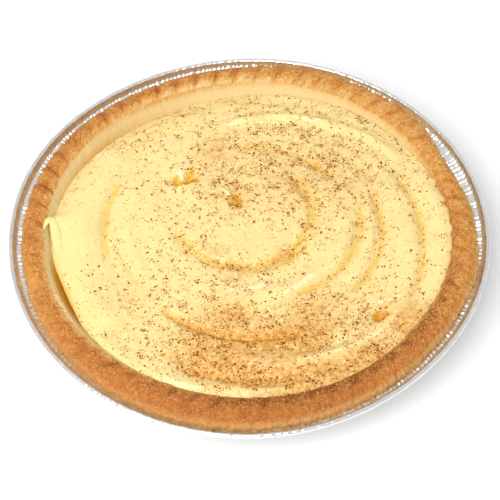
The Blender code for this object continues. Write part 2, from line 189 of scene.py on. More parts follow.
@dataclass(frozen=True)
class TartShape:
    """The sizes that the pieces share, as in the solids."""

    dish_radius: float = 111.0 * MM
    base_radius: float = 84.0 * MM
    wall_top_radius: float = 103.6 * MM
    wall_top_height: float = 24.0 * MM
    ledge_radius: float = 107.8 * MM
    ledge_height: float = 25.0 * MM
    sheet: float = 0.35 * MM
    pleat_depth: float = 0.45 * MM
    gap: float = 0.3 * MM
    lip: float = 94.3 * MM
    lip_height: float = 28.0 * MM
    wall_slope: float = math.radians(56.0)
    edge_radius: float = 104.8 * MM
    edge_limit: float = 108.2 * MM
    crimp_slant: float = math.radians(0.26) / MM
    floor_height: float = 5.6 * MM
    floor_corner: float = 2.0 * MM
    foot_height: float = 7.2 * MM
    rim_waves: tuple[tuple[int, float, float], ...] = (
        (3, 27.0, 0.47 * MM), (4, -14.0, 0.25 * MM), (5, -1.0, 0.14 * MM),
        (6, -25.0, 0.11 * MM),
    )
    lip_spreads: tuple[Bump, ...] = ((257.0, 46.0, -2.4 * MM),)
    edge_spreads: tuple[Bump, ...] = (
        (19.0, 11.0, -2.8 * MM), (42.0, 12.0, 2.3 * MM), (70.0, 15.0, 3.2 * MM),
        (120.0, 25.0, -0.6 * MM), (258.0, 38.0, 1.4 * MM), (344.0, 7.0, 1.5 * MM),
    )

    def rim_bend(self, angle: Array) -> Array:
        """How far the bent rim stands out of round at an angle."""
        return sum(
            height * np.cos(count * np.radians(angle - crest))
            for count, crest, height in self.rim_waves
        )

    def place(self, radius: Array, angle: Array, height: Array) -> Array:
        """Find a point of the tart, which bends with the rim, more towards the top.

        Args:
            radius: distance from the middle before the bend.
            angle: in degrees.
            height: above the base.

        Returns:
            The points, with x, y and z last.
        """
        radius, angle, height = np.broadcast_arrays(radius, angle, height)
        share = np.clip(height / self.ledge_height, 0.0, 1.0)
        bent = radius + share * self.rim_bend(angle) * (radius / self.dish_radius)
        return spot_at(bent, angle, height)

    def lip_radius(self, angle: Array) -> Array:
        """The radius of the case's inner lip."""
        return self.lip + bumps(angle, self.lip_spreads)

    def case_wall_radius(self, height: Array, angle: Array) -> Array:
        """The radius of the case's inner wall at a height."""
        return self.lip_radius(angle) - (self.lip_height - height) / math.tan(self.wall_slope)

    def foil_wall_radius(self, height: Array) -> Array:
        """The radius of the case's outer wall, clear of the dish's pleats."""
        run = self.wall_top_radius - self.base_radius
        clearance = self.sheet + self.pleat_depth + self.gap
        clearance *= math.hypot(run, self.wall_top_height) / self.wall_top_height
        return self.base_radius + height * run / self.wall_top_height - clearance

    def over_ledge_height(self, radius: Array) -> Array:
        """The height of the case's underside over the dish's ledge."""
        rise = (self.ledge_height - self.wall_top_height) / (self.ledge_radius - self.wall_top_radius)
        outward = np.maximum(radius - self.wall_top_radius, 0.0)
        return self.wall_top_height + outward * rise + self.sheet / 2 + self.pleat_depth + 1.5 * self.gap

    def crust_edge_radius(self, angle: Array) -> Array:
        """The radius of the case's outer edge, which spreads unevenly."""
        return np.minimum(self.edge_radius + bumps(angle, self.edge_spreads), self.edge_limit)

    def slant(self, radius: Array) -> Array:
        """How far a crimp has turned by a radius, in degrees."""
        inward = self.edge_limit - np.clip(radius, self.lip, self.edge_limit)
        return np.degrees(self.crimp_slant * inward)


@dataclass
class RingMesh:
    """A closed skin of rings with equal numbers of points, from the underside out and over."""

    points: Array

    def normals(self) -> Array:
        """The outward direction at each point, from the points around it."""
        along = np.roll(self.points, -1, axis=1) - np.roll(self.points, 1, axis=1)
        up = np.gradient(self.points, axis=0)
        facing = np.cross(along, up)
        return facing / np.maximum(np.linalg.norm(facing, axis=-1, keepdims=True), 1e-12)

    def push(self, amount: Array) -> None:
        """Move the points outwards by an amount each."""
        self.points = self.points + self.normals() * amount[..., None]

    def build(self, name: str, material: bpy.types.Material, masks: dict[str, Array]) -> bpy.types.Object:
        """Make the skin's object, closed by a fan at each end.

        Args:
            name: the piece's name.
            material: its finish.
            masks: values at each point, by the name that the finish reads.

        Returns:
            The smooth-shaded object.
        """
        rings, steps = self.points.shape[:2]
        count = rings * steps
        middles = self.points[[0, -1]].mean(axis=1)
        vertices = np.concatenate([self.points.reshape(-1, 3), middles])
        number = np.arange(count).reshape(rings, steps)
        after = np.roll(number, -1, axis=1)
        quads = np.stack([number[:-1], after[:-1], after[1:], number[1:]], axis=-1).reshape(-1, 4)
        under = np.stack([after[0], number[0], np.full(steps, count)], axis=-1)
        over = np.stack([number[-1], after[-1], np.full(steps, count + 1)], axis=-1)
        mesh = bpy.data.meshes.new(name)
        mesh.from_pydata(vertices.tolist(), [], quads.tolist() + under.tolist() + over.tolist())
        for mask, values in masks.items():
            ends = values[[0, -1]].mean(axis=1)
            add_mask(mesh, mask, np.concatenate([values.ravel(), ends]))
        return make_piece(name, mesh, material)


def add_mask(mesh: bpy.types.Mesh, name: str, values: Array) -> None:
    """Keep a value for each of the mesh's points, for its finish to read."""
    mesh.attributes.new(name, "FLOAT", "POINT").data.foreach_set("value", values.astype(np.float32))


def make_piece(name: str, mesh: bpy.types.Mesh, material: bpy.types.Material) -> bpy.types.Object:
    """Link a smooth-shaded object with its finish to the scene."""
    mesh.materials.append(material)
    mesh.shade_smooth()
    piece = bpy.data.objects.new(name, mesh)
    bpy.context.scene.collection.objects.link(piece)
    return piece


def settle(piece: bpy.types.Object, node: Node | None = None) -> None:
    """Let a finished piece ride on the tart, and report it.

    Args:
        piece: the object.
        node: the solid that it stands for, if there is one.
    """
    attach(piece, BODY)
    if node:
        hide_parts(node.value)
    piece.data.calc_loop_triangles()
    log.info("%s: %d triangles", piece.name, len(piece.data.loop_triangles))


class Sketch:
    """Adds and joins the shader nodes of one tree."""

    def __init__(self, tree: bpy.types.NodeTree) -> None:
        """Keep the tree that the nodes go into."""
        self.tree = tree

    def feed(self, node: bpy.types.Node, inputs: dict) -> None:
        """Give a node its values, or the sockets to join, by input name or number."""
        for name, value in inputs.items():
            if isinstance(value, bpy.types.NodeSocket):
                self.tree.links.new(value, node.inputs[name])
            else:
                node.inputs[name].default_value = value

    def add(self, kind: str, inputs: dict | None = None, **settings) -> bpy.types.Node:
        """Add a node.

        Args:
            kind: the node's type.
            inputs: values, or sockets to join, by input name or number.
            settings: the node's own properties.

        Returns:
            The node.
        """
        node = self.tree.nodes.new(kind)
        for name, value in settings.items():
            setattr(node, name, value)
        self.feed(node, inputs or {})
        return node

    def maths(self, operation: str, *values) -> bpy.types.NodeSocket:
        """Work out one sum on values or sockets."""
        return self.add("ShaderNodeMath", dict(enumerate(values)), operation=operation).outputs[0]

    def times(self, first, second) -> bpy.types.NodeSocket:
        """Multiply two values or sockets."""
        return self.maths("MULTIPLY", first, second)

    def times_plus(self, first, second, third) -> bpy.types.NodeSocket:
        """Multiply two values or sockets, and add a third."""
        return self.maths("MULTIPLY_ADD", first, second, third)

    def centred(self, value) -> bpy.types.NodeSocket:
        """Move a value round 0.5 to one round 0."""
        return self.maths("SUBTRACT", value, 0.5)

    def between(self, value, low: float, high: float) -> bpy.types.NodeSocket:
        """Ease from 0 to 1 as value goes from low to high."""
        inputs = {"Value": value, "From Min": low, "From Max": high}
        return self.add("ShaderNodeMapRange", inputs, interpolation_type="SMOOTHSTEP").outputs[0]

    def blend(self, share, first, second) -> bpy.types.NodeSocket:
        """Mix two colours by a share, where a colour is a socket or three numbers."""
        colours = [c if isinstance(c, bpy.types.NodeSocket) else (*c, 1.0) for c in (first, second)]
        inputs = {0: share, 6: colours[0], 7: colours[1]}
        return self.add("ShaderNodeMix", inputs, data_type="RGBA").outputs[2]

    def mask(self, name: str) -> bpy.types.NodeSocket:
        """Read a value that the mesh keeps at each point."""
        return self.add("ShaderNodeAttribute", attribute_name=name).outputs["Fac"]

    def group(self, tree: bpy.types.NodeTree, pattern: tuple) -> bpy.types.NodeSocket:
        """Place a shared effect with its values, in the order of its inputs."""
        return self.add("ShaderNodeGroup", dict(enumerate(pattern)), node_tree=tree).outputs[0]


class Effects:
    """The effects that several finishes share, each a node group that is built once."""

    def __init__(self) -> None:
        """Build the groups."""
        self.mottle = self.make_mottle()
        self.grains = self.make_grains()

    @staticmethod
    def start(name: str, inputs: dict[str, float], output: str) -> tuple[Sketch, dict, bpy.types.Node]:
        """Begin a node group.

        Args:
            name: the group's name.
            inputs: each number that it takes, with its usual value.
            output: the name of the value that it puts out.

        Returns:
            A sketch of its tree, its input sockets by name, and its output node.
        """
        tree = bpy.data.node_groups.new(name, "ShaderNodeTree")
        for label, usual in inputs.items():
            socket = tree.interface.new_socket(label, in_out="INPUT", socket_type="NodeSocketFloat")
            socket.default_value = usual
        tree.interface.new_socket(output, in_out="OUTPUT", socket_type="NodeSocketFloat")
        sketch = Sketch(tree)
        entry = sketch.add("NodeGroupInput")
        return sketch, {label: entry.outputs[label] for label in inputs}, sketch.add("NodeGroupOutput")

    @staticmethod
    def scaled_place(sketch: Sketch, size: bpy.types.NodeSocket, seed: bpy.types.NodeSocket):
        """The place on the object, counted in steps of a size and moved by a seed."""
        place = sketch.add("ShaderNodeTexCoord").outputs["Object"]
        per_metre = sketch.maths("DIVIDE", 1.0, size)
        scaled = sketch.add("ShaderNodeVectorMath", {0: place, "Scale": per_metre}, operation="SCALE")
        moved = sketch.add("ShaderNodeVectorMath", {0: scaled.outputs[0], 1: seed}, operation="ADD")
        return moved.outputs[0]

    def make_mottle(self) -> bpy.types.NodeTree:
        """Uneven patches: 0 to 1 round 0.5, with a size, a depth of detail and a contrast."""
        usual = {"Size": 0.003, "Detail": 3.0, "Contrast": 1.0, "Seed": 0.0}
        sketch, given, out = self.start("mottle", usual, "Value")
        place = self.scaled_place(sketch, given["Size"], given["Seed"])
        inputs = {"Vector": place, "Scale": 1.0, "Detail": given["Detail"]}
        patches = sketch.add("ShaderNodeTexNoise", inputs).outputs["Fac"]
        stretched = sketch.times_plus(sketch.centred(patches), given["Contrast"], 0.5)
        clamped = sketch.add("ShaderNodeClamp", {"Value": stretched})
        sketch.feed(out, {0: clamped.outputs[0]})
        return sketch.tree

    def make_grains(self) -> bpy.types.NodeTree:
        """Scattered round grains: 1 on a grain, with a spacing, a width and a share."""
        usual = {"Spacing": 0.001, "Width": 0.3, "Share": 0.3, "Seed": 0.0}
        sketch, given, out = self.start("grains", usual, "Mask")
        place = self.scaled_place(sketch, given["Spacing"], given["Seed"])
        cells = sketch.add("ShaderNodeTexVoronoi", {"Vector": place, "Scale": 1.0})
        draw = sketch.add("ShaderNodeSeparateColor", {0: cells.outputs["Color"]})
        width = sketch.times(given["Width"], sketch.times_plus(draw.outputs[1], 0.8, 0.5))
        inside = sketch.between(sketch.maths("SUBTRACT", width, cells.outputs["Distance"]), 0.0, 0.12)
        chosen = sketch.maths("LESS_THAN", draw.outputs[0], given["Share"])
        sketch.feed(out, {0: sketch.times(inside, chosen)})
        return sketch.tree


class Look(Sketch):
    """The nodes of one material, which end in its Principled BSDF."""

    def __init__(self, name: str) -> None:
        """Start the material."""
        self.material = bpy.data.materials.new(name)
        self.material.use_nodes = True
        super().__init__(self.material.node_tree)

    def bump(self, height, strength: float, distance: float) -> bpy.types.NodeSocket:
        """Tilt the surface by a height from 0 to 1, which stands for a distance."""
        inputs = {"Height": height, "Strength": strength, "Distance": distance}
        return self.add("ShaderNodeBump", inputs).outputs[0]

    def finish(self, inputs: dict) -> bpy.types.Material:
        """Feed the shader with values or sockets by name, and give the material."""
        self.feed(self.tree.nodes["Principled BSDF"], inputs)
        return self.material


@dataclass(frozen=True)
class FoilFinish:
    """Bright pressed aluminium, softly rolled and a little crinkled."""

    colour: Colour = linear(248, 248, 247)
    dull: Colour = linear(228, 226, 222)
    metal: float = 0.94
    roughness: float = 0.2
    dull_roughness: float = 0.1
    dulled: Pattern = (6.0 * MM, 4.0, 2.0, 0.0)
    crinkles: Pattern = (1.8 * MM, 3.0, 1.6, 5.0)
    crinkle_strength: float = 0.6
    crinkle_height: float = 0.1 * MM

    def material(self, effects: Effects) -> bpy.types.Material:
        """Make the foil's material."""
        look = Look("pressed_foil")
        dulled = look.group(effects.mottle, self.dulled)
        crinkles = look.group(effects.mottle, self.crinkles)
        return look.finish(
            {
                "Base Color": look.blend(dulled, self.colour, self.dull),
                "Metallic": self.metal,
                "Roughness": look.times_plus(dulled, self.dull_roughness, self.roughness),
                "Normal": look.bump(crinkles, self.crinkle_strength, self.crinkle_height),
            }
        )


@dataclass(frozen=True)
class CrustFinish:
    """Baked shortcrust: golden and crumbly on the rim, cream on its inner wall."""

    golden: Colour = linear(216, 158, 82)
    baked: Colour = linear(184, 114, 52)
    toasted: Colour = linear(152, 86, 36)
    pale: Colour = linear(229, 203, 146)
    edge: Colour = linear(230, 186, 122)
    # Painted at the custard's crevice on the left wall, and as painted shade low on the far-left wall
    # near the custard.
    wall_dark: Colour = linear(204, 146, 40)
    powder: Colour = linear(118, 70, 34)
    patches: Pattern = (8.0 * MM, 2.0, 1.4, 0.0)
    flakes: Pattern = (1.9 * MM, 3.0, 2.6, 6.0)
    crumbs: Pattern = (0.6 * MM, 2.0, 2.4, 3.0)
    unevenness: tuple[float, float, float] = (0.35, 0.4, 0.55)
    # Painted shade: how much the creases and the crumb's dips darken the crust.
    creased: float = 0.3
    sugar: Pattern = (1.3 * MM, 0.3, 0.22, 9.0)
    sugar_light: float = 0.35
    roughness: float = 0.62
    shine: float = 0.2
    bump_strength: float = 0.8
    bump_height: float = 0.4 * MM

    def material(self, effects: Effects) -> bpy.types.Material:
        """Make the crust's material, which reads where it is browned or dusted, its pale edge with
        painted light, and painted shade in its creases, dips and low wall.
        """
        look = Look("baked_shortcrust")
        patterns = [look.group(effects.mottle, p) for p in (self.patches, self.flakes, self.crumbs)]
        crumb = patterns[-1]
        sugar = look.group(effects.grains, self.sugar)
        rimmed = look.between(look.mask("brown"), 0.1, 0.6)
        # Painted shade: the crease mask darkens the creases and dips and lightens the crumb's bumps.
        brown = look.times_plus(look.mask("crease"), self.creased, look.mask("brown"))
        for pattern, amount in zip(patterns, self.unevenness):
            brown = look.times_plus(look.times(look.centred(pattern), rimmed), amount, brown)
        colour = look.blend(look.between(brown, 0.0, 0.5), self.pale, self.golden)
        colour = look.blend(look.between(brown, 0.4, 1.0), colour, self.baked)
        colour = look.blend(look.between(brown, 0.9, 1.5), colour, self.toasted)
        # The pale crumbly edge, with painted light on the right and the near right.
        outer = look.times(look.mask("edge"), look.times_plus(crumb, 0.6, 0.4))
        colour = look.blend(outer, colour, self.edge)
        lit = look.times(look.times(sugar, self.sugar_light), look.between(brown, 0.2, 0.6))
        colour = look.blend(lit, colour, self.edge)
        # Darker amber on the wall at the crevice, and painted shade low on the far-left wall.
        colour = look.blend(look.mask("wall_darkening"), colour, self.wall_dark)
        dust = look.times(look.mask("powder"), look.between(crumb, 0.25, 0.75))
        height = look.times_plus(crumb, 0.7, look.times(sugar, 0.3))
        return look.finish(
            {
                "Base Color": look.blend(dust, colour, self.powder),
                "Roughness": look.times_plus(crumb, 0.2, self.roughness),
                "Specular IOR Level": self.shine,
                "Normal": look.bump(height, self.bump_strength, self.bump_height),
            }
        )


@dataclass(frozen=True)
class CustardFinish:
    """Soft set custard: pale yellow, hazed and specked by cinnamon, with painted shade in its hollows,
    grooves, pits and crevice, and painted highlights on its thin lips.

    Its stains and specks have their spacing, width, seed and strength.
    """

    bright: Colour = linear(240, 217, 149)
    # Painted shade: deep is the darker yellow painted into the custard's hollows and its crevice.
    deep: Colour = linear(238, 200, 100)
    # Painted shade: the deeper yellow painted along the bottoms of the thin grooves.
    groove_shade: Colour = linear(238, 194, 74)
    # Painted highlight: crest is the whitish colour painted on the custard's thin lips and ridge tops.
    crest: Colour = linear(249, 234, 186)
    # Painted shade: amber painted into the torn pits and the crevice, where they lie deep and shadowed.
    pit_shade_amber: Colour = linear(230, 178, 46)
    haze: Colour = linear(200, 130, 6)
    stain: Colour = linear(212, 144, 28)
    speck: Colour = linear(172, 98, 14)
    broad: Pattern = (11.0 * MM, 2.0, 1.6, 0.0)
    fine: Pattern = (1.6 * MM, 3.0, 2.0, 7.0)
    patchy: Pattern = (1.7 * MM, 4.0, 3.0, 13.0)
    stains: Pattern = (1.3 * MM, 0.3, 4.0, 0.7)
    specks: Pattern = (0.7 * MM, 0.27, 2.0, 0.8)
    subsurface: float = 0.35
    scatter: float = 2.0 * MM
    scatter_by_colour: Colour = (1.0, 0.8, 0.35)
    roughness: float = 0.22
    powder_roughness: float = 0.35
    bump_strength: float = 0.5
    bump_height: float = 0.16 * MM

    def material(self, effects: Effects) -> bpy.types.Material:
        """Make the custard's material, which reads its painted shade in hollows, grooves and pits, its
        painted highlights and its powder.
        """
        look = Look("soft_custard")
        broad = look.group(effects.mottle, self.broad)
        fine = look.group(effects.mottle, self.fine)
        patchy = look.group(effects.mottle, self.patchy)
        powder = look.mask("powder")
        # Painted shade: the hollow mask, from the relief's dips and the crevice, plus random broad
        # mottle, darkens the custard towards deep.
        hollow_shade = look.times_plus(look.centred(broad), 0.35, look.mask("hollow_shade"))
        depth = look.times(look.between(hollow_shade, 0.0, 1.2), 0.6)
        colour = look.blend(depth, self.bright, self.deep)
        # Painted shade along the thin grooves, broken up by patchy mottle.
        groove_shade = look.times(look.mask("groove_shade"), look.times_plus(patchy, 0.4, 0.45))
        colour = look.blend(groove_shade, colour, self.groove_shade)
        # Painted shade in the pits and the crevice.
        colour = look.blend(look.mask("pit"), colour, self.pit_shade_amber)
        # Painted highlight on the thin lips of the fine creases.
        crest = look.between(look.times(look.mask("crest"), fine), 0.1, 0.6)
        colour = look.blend(crest, colour, self.crest)
        uneven = look.times_plus(patchy, 0.45, look.times(fine, 0.55))
        cloud = look.times(powder, look.maths("ADD", uneven, 0.06))
        colour = look.blend(cloud, colour, self.haze)
        share = look.times(powder, look.times_plus(patchy, 1.4, 0.6))
        share = look.maths("ADD", share, 0.05)
        for spots, tone in ((self.stains, self.stain), (self.specks, self.speck)):
            spacing, width, seed, strength = spots
            spotted = look.group(effects.grains, (spacing, width, share, seed))
            colour = look.blend(look.times(spotted, strength), colour, tone)
        return look.finish(
            {
                "Base Color": colour,
                "Roughness": look.times_plus(powder, self.powder_roughness, self.roughness),
                "Subsurface Weight": self.subsurface,
                "Subsurface Radius": self.scatter_by_colour,
                "Subsurface Scale": self.scatter,
                "Normal": look.bump(fine, self.bump_strength, self.bump_height),
            }
        )


@dataclass(frozen=True)
class GrainFinish:
    """The finish of loose grains, whose shade differs from grain to grain."""

    name: str
    light: Colour
    dark: Colour
    roughness: float = 0.8
    shine: float = 0.1
    grit: Pattern = (0.4 * MM, 2.0, 1.5, 0.0)
    bump_strength: float = 0.5
    bump_height: float = 0.05 * MM

    def material(self, effects: Effects) -> bpy.types.Material:
        """Make the grains' material, which reads each one's shade."""
        look = Look(self.name)
        grit = look.group(effects.mottle, self.grit)
        shade = look.times_plus(look.centred(grit), 0.5, look.mask("shade"))
        return look.finish(
            {
                "Base Color": look.blend(shade, self.dark, self.light),
                "Roughness": self.roughness,
                "Specular IOR Level": self.shine,
                "Normal": look.bump(grit, self.bump_strength, self.bump_height),
            }
        )


@dataclass
class FoilDish:
    """The pressed dish: flat base, finely pleated wall and ledge, smooth collar, rolled bead.

    Its sheet bends at lines round the dish. Each row for the wall's top and the ledge has how
    far out and up its line lies from there, in millimetres, and how much of the pleats' swing
    and of the ledge's bend it takes.
    """

    shape: TartShape
    pleats: int = 288
    steps_per_pleat: int = 6
    depth: float = 0.42 * MM
    faintest_pleat: float = 0.2
    pleat_shift: float = 0.42
    sheet: float = 0.2 * MM
    corner: float = 1.6 * MM
    wall_shares: tuple[float, ...] = (0.03, 0.08, 0.2, 0.4, 0.6, 0.8, 0.94)
    wall_top: tuple[Row, ...] = (
        (0.2, -0.15, 1.0, 0.0), (0.9, 0.2, 1.0, 0.0), (1.6, 0.38, 1.0, 0.0),
        (2.3, 0.52, 0.95, 0.05),
    )
    ledge: tuple[Row, ...] = (
        (-1.2, -0.28, 0.9, 0.5), (-0.7, -0.1, 0.9, 0.8), (-0.2, 0.15, 0.8, 1.0),
        (0.25, 0.6, 0.4, 0.85),
    )
    bead_radius: float = 1.1 * MM
    bead_height: float = 27.0 * MM
    bead_sides: int = 14
    bead_arc: tuple[float, float] = (-150.0, 185.0)
    bent: tuple[Bump, ...] = (
        (138.0, 66.0, -0.5 * MM), (55.0, 14.0, 0.3 * MM), (285.0, 50.0, -0.55 * MM),
    )
    dents: float = 0.3 * MM
    dent_width: float = 1.9 * MM
    dented_pleats: float = 0.8
    seed: int = 5

    def section(self) -> Array:
        """The sheet's section from the base's edge to the collar's top, rounded at its bends.

        Returns:
            Each line's radius and height, and how much it takes of the pleats and the bend.
        """
        shape = self.shape
        floor = self.sheet / 2
        run = shape.wall_top_radius - shape.base_radius
        rows = [
            (shape.base_radius - 2.0 * self.corner, floor, 0.0, 0.0),
            (shape.base_radius - 0.6 * self.corner, floor + 0.02 * MM, 0.15, 0.0),
        ]
        for share in self.wall_shares:
            height = floor + shape.wall_top_height * share
            rows.append((shape.base_radius + run * share, height, 1.0, 0.0))
        for radius, height, lines in (
            (shape.wall_top_radius, shape.wall_top_height, self.wall_top),
            (shape.ledge_radius, shape.ledge_height, self.ledge),
        ):
            rows += [(radius + out * MM, height + up * MM, pleat, bend) for out, up, pleat, bend in lines]
        collar = shape.dish_radius - 2.0 * self.bead_radius
        rows.append((collar - 0.3 * MM, self.bead_height - 0.8 * self.bead_radius, 0.06, 0.35))
        return np.array(rows)

    def swing(self, angle: Array) -> Array:
        """The pleats' zigzag round the dish, from -1 to 1, each pleat a little different."""
        rng = np.random.default_rng(self.seed)
        strength = rng.uniform(self.faintest_pleat, 1.0, self.pleats)
        shift = rng.uniform(-self.pleat_shift, self.pleat_shift, self.pleats)
        place = angle / 360.0 * self.pleats
        low = np.floor(place).astype(int)
        ease = smooth_step(place - low)
        power, slip = (
            drawn[low % self.pleats] * (1.0 - ease) + drawn[(low + 1) % self.pleats] * ease
            for drawn in (strength, shift)
        )
        wave = np.sin(math.tau * (place + slip))
        return power * np.sign(wave) * np.abs(wave) ** 0.8

    def faces(self, angle: Array) -> list[Array]:
        """The rings on the sheet's outer and inner face, both from the base outwards."""
        radii, heights, pleat, bend = self.section().T[..., None]
        run = np.gradient(radii, axis=0)
        climb = np.gradient(heights, axis=0)
        length = np.hypot(run, climb)
        swing = self.swing(angle) * pleat * self.depth
        bent = bend * bumps(angle, self.bent)
        rings = []
        for side in (-1.0, 1.0):
            offset = side * self.sheet / 2 + swing
            height = heights + run / length * offset + bent
            rings.append(self.shape.place(radii - climb / length * offset, angle, height))
        return rings

    def skin(self) -> RingMesh:
        """Build both faces of the sheet and the bead between them, with dents off the flat base."""
        steps = self.pleats * self.steps_per_pleat
        angle = np.arange(steps) * 360.0 / steps
        outer, inner = self.faces(angle)
        turns = np.radians(np.linspace(*self.bead_arc, self.bead_sides + 1))[:, None]
        radius = self.shape.dish_radius + self.bead_radius * (np.cos(turns) - 1.0)
        bead = self.shape.place(radius, angle, self.bead_height + self.bead_radius * np.sin(turns))
        skin = RingMesh(np.concatenate([outer, bead, inner[::-1]]))
        loose = self.section()[:, 2] * self.dented_pleats
        loose[:2] = 0.0
        loose = np.concatenate([loose, np.ones(len(bead)), loose[::-1]])
        dents = noise_at(skin.points, self.dent_width, octaves=3, seed=17.0) * self.dents
        skin.points[..., 2] += dents * loose[:, None]
        return skin

    def build(self, material: bpy.types.Material) -> None:
        """Make the dish in place of its solid."""
        piece = self.skin().build("dressed_foil_dish", material, {})
        settle(piece, Node.DISH)


@dataclass
class CaseRing:
    """One ring of the case: its points, how crumbly it is, and what its finish reads there."""

    points: Array
    rough: float = 0.0
    masks: dict[str, Array | float] = field(default_factory=dict)


@dataclass
class PastryCase:
    """The shortcrust case: floor, sloping inner wall and a crimped, crumbly rim."""

    shape: TartShape
    crimps: int = 60
    steps: int = 1320
    rim_rows: int = 36
    crimp_depth: float = 0.75 * MM
    crimp_range: tuple[float, float] = (0.35, 1.25)
    crease_flanks: tuple[float, float] = (0.06, 0.2)
    setback: float = 0.1 * MM
    sag: float = 1.0 * MM
    shoulder_height: float = 24.7 * MM
    crumb: float = 0.4 * MM
    crumb_width: float = 1.1 * MM
    fibre_width: float = 1.0 * MM
    fibre_drift: float = 0.09 * MM
    fibre_height: float = 0.12 * MM
    raggedness: float = 0.5 * MM
    ragged_width: float = 2.4 * MM
    fringe: float = 0.35 * MM
    fringe_width: float = 0.9 * MM
    lumps: float = 0.3 * MM
    lump_width: float = 5.5 * MM
    section_across: tuple[float, ...] = (0.0, 0.16, 0.45, 0.8, 1.0)
    section_rise: tuple[float, ...] = (-0.8, 0.9, 2.2, 1.5, 0.0)
    section_push: tuple[float, ...] = (-0.7, -0.3, 0.0, 0.2, 0.4)
    section_sink: tuple[float, ...] = (0.05, 0.25, 0.9, 1.0, 0.5)
    inner_crease: float = 0.13
    inner_creased: tuple[Bump, ...] = ((290.0, 50.0, 1.0), (232.0, 26.0, 0.7))
    inner_tone: float = 1.9
    inner_sink: float = 0.4
    crease_ease: tuple[Bump, ...] = ((285.0, 62.0, -0.6), (205.0, 24.0, -0.3))
    crease_tone: tuple[Bump, ...] = ((285.0, 66.0, -0.92), (205.0, 24.0, -0.5))
    fold_place: float = 0.14
    fold_width: float = 0.2
    folded: tuple[Bump, ...] = ((95.0, 34.0, 1.0), (150.0, 28.0, 1.1))
    browning: float = 0.62
    browned: tuple[Bump, ...] = (
        (278.0, 52.0, 0.48), (226.0, 22.0, 0.16), (165.0, 30.0, 0.12), (130.0, 18.0, 0.14),
        (45.0, 30.0, -0.08),
    )
    side_browning: float = 0.45
    lip_paled: tuple[Bump, ...] = ((112.0, 44.0, 0.5), (213.0, 34.0, 0.8))
    wall_browning: float = 0.06
    wall_browned: tuple[Bump, ...] = (
        (112.0, 30.0, 0.42), (55.0, 24.0, 0.2), (216.0, 14.0, 0.14), (8.0, 24.0, 0.8),
        (300.0, 46.0, 0.8),
    )
    edge_pale: float = 0.42
    # Painted light: a highlight on the edge at the right, and light lifting the edge's shadow on the near
    # right.
    edge_painted_light: tuple[Bump, ...] = ((25.0, 52.0, 0.7), (292.0, 40.0, 0.35))
    edge_bulge: float = 0.35 * MM
    crevice_darkened: tuple[float, float] = (201.0, 13.0)
    wall_shaded: tuple[Bump, ...] = ((146.0, 26.0, 0.6),)
    exposed_depth: float = 8.5 * MM
    exposed_step: float = 0.55 * MM
    hidden_heights: tuple[float, float] = (16.0 * MM, 12.0 * MM)
    wall_roughness: float = 0.4
    dusted: tuple[Bump, ...] = (
        (290.0, 17.0, 2.4), (318.0, 26.0, 2.0), (268.0, 10.0, 0.9), (240.0, 18.0, 0.3),
    )
    dusted_radius: float = 94.6 * MM
    dusted_width: float = 3.0 * MM
    dust_patch: float = 2.0 * MM
    seed: int = 7
    top: Array = field(default=None, init=False)
    facing: Array = field(default=None, init=False)
    masks: dict[str, Array] = field(default_factory=dict, init=False)

    def crimp_strength(self, plain: Array) -> Array:
        """How deep each crimp is, from its number round the rim."""
        rng = np.random.default_rng(self.seed)
        depths = rng.uniform(*self.crimp_range, self.crimps)
        return depths[np.round(plain / 360.0 * self.crimps).astype(int) % self.crimps]

    def fibres(self, plain: Array, rows: int) -> Array:
        """Fine uneven streaks that run across the rim, from -1 to 1.

        Args:
            plain: angles before the crimps' slant.
            rows: how many rings the case has.

        Returns:
            Their height at each point of the case.
        """
        row = np.arange(rows)[:, None] * self.fibre_drift
        place = spot_at(self.shape.lip, plain, row)
        return noise_at(place, self.fibre_width, octaves=2, seed=21.0)

    def edge_line(self, plain: Array) -> Array:
        """The radius of the crumbling outer edge."""
        place = spot_at(self.shape.lip, plain, 0.0)
        ragged = noise_at(place, self.ragged_width, octaves=3, seed=44.0) * self.raggedness
        ragged = ragged + noise_at(place, self.fringe_width, octaves=2, seed=47.0) * self.fringe
        return np.minimum(self.shape.crust_edge_radius(plain) + ragged, self.shape.edge_limit)

    def rim_line(self, across: float, plain: Array) -> tuple[Array, Array, Array]:
        """One line round the rim.

        Args:
            across: 0 at the outer edge and 1 at the inner lip.
            plain: angles before the crimps' slant.

        Returns:
            The line's points, the painted shade of its creases with a darker band beside each crimp, and
            its angles.
        """
        rise, push, sink = (
            float(curve_through(self.section_across, values, np.array(across)))
            for values in (self.section_rise, self.section_push, self.section_sink)
        )
        shape = self.shape
        strength = self.crimp_strength(plain)
        phase = (plain / 360.0 * self.crimps + 0.5) % 1.0 - 0.5
        flank = np.where(phase > 0.0, *self.crease_flanks)
        crease = np.exp(-((phase / flank) ** 2)) * strength * (1.0 + bumps(plain, self.crease_ease))
        inner = np.exp(-((phase / self.inner_crease) ** 2)) * bumps(plain, self.inner_creased)
        inner = inner * strength * smooth_step((across - 0.5) / 0.25)
        fold = np.exp(-(((phase - self.fold_place) / self.fold_width) ** 2)) * strength
        fold = fold * bumps(plain, self.folded) * smooth_step((0.95 - across) / 0.45)
        edge = self.edge_line(plain)
        radius = edge + (shape.lip_radius(plain + shape.slant(shape.lip)) - edge) * across
        radius = radius + self.crimp_depth * push * crease
        depth = self.crimp_depth * (sink * crease + self.inner_sink * inner)
        angle = plain + shape.slant(radius)
        # Painted shade: the creases darken the crust, the inner creases most; fold is a darker band
        # beside each crimp.
        tone = crease * sink * (1.0 + bumps(plain, self.crease_tone)) + self.inner_tone * inner + fold
        return shape.place(radius, angle, shape.lip_height + rise * MM - depth), tone, angle

    def edge_tone(self, plain: Array) -> Array:
        """How pale and crumbly the rim's outer edge is, with painted light added on the right and the
        near right.
        """
        return self.edge_pale + bumps(plain, self.edge_painted_light)

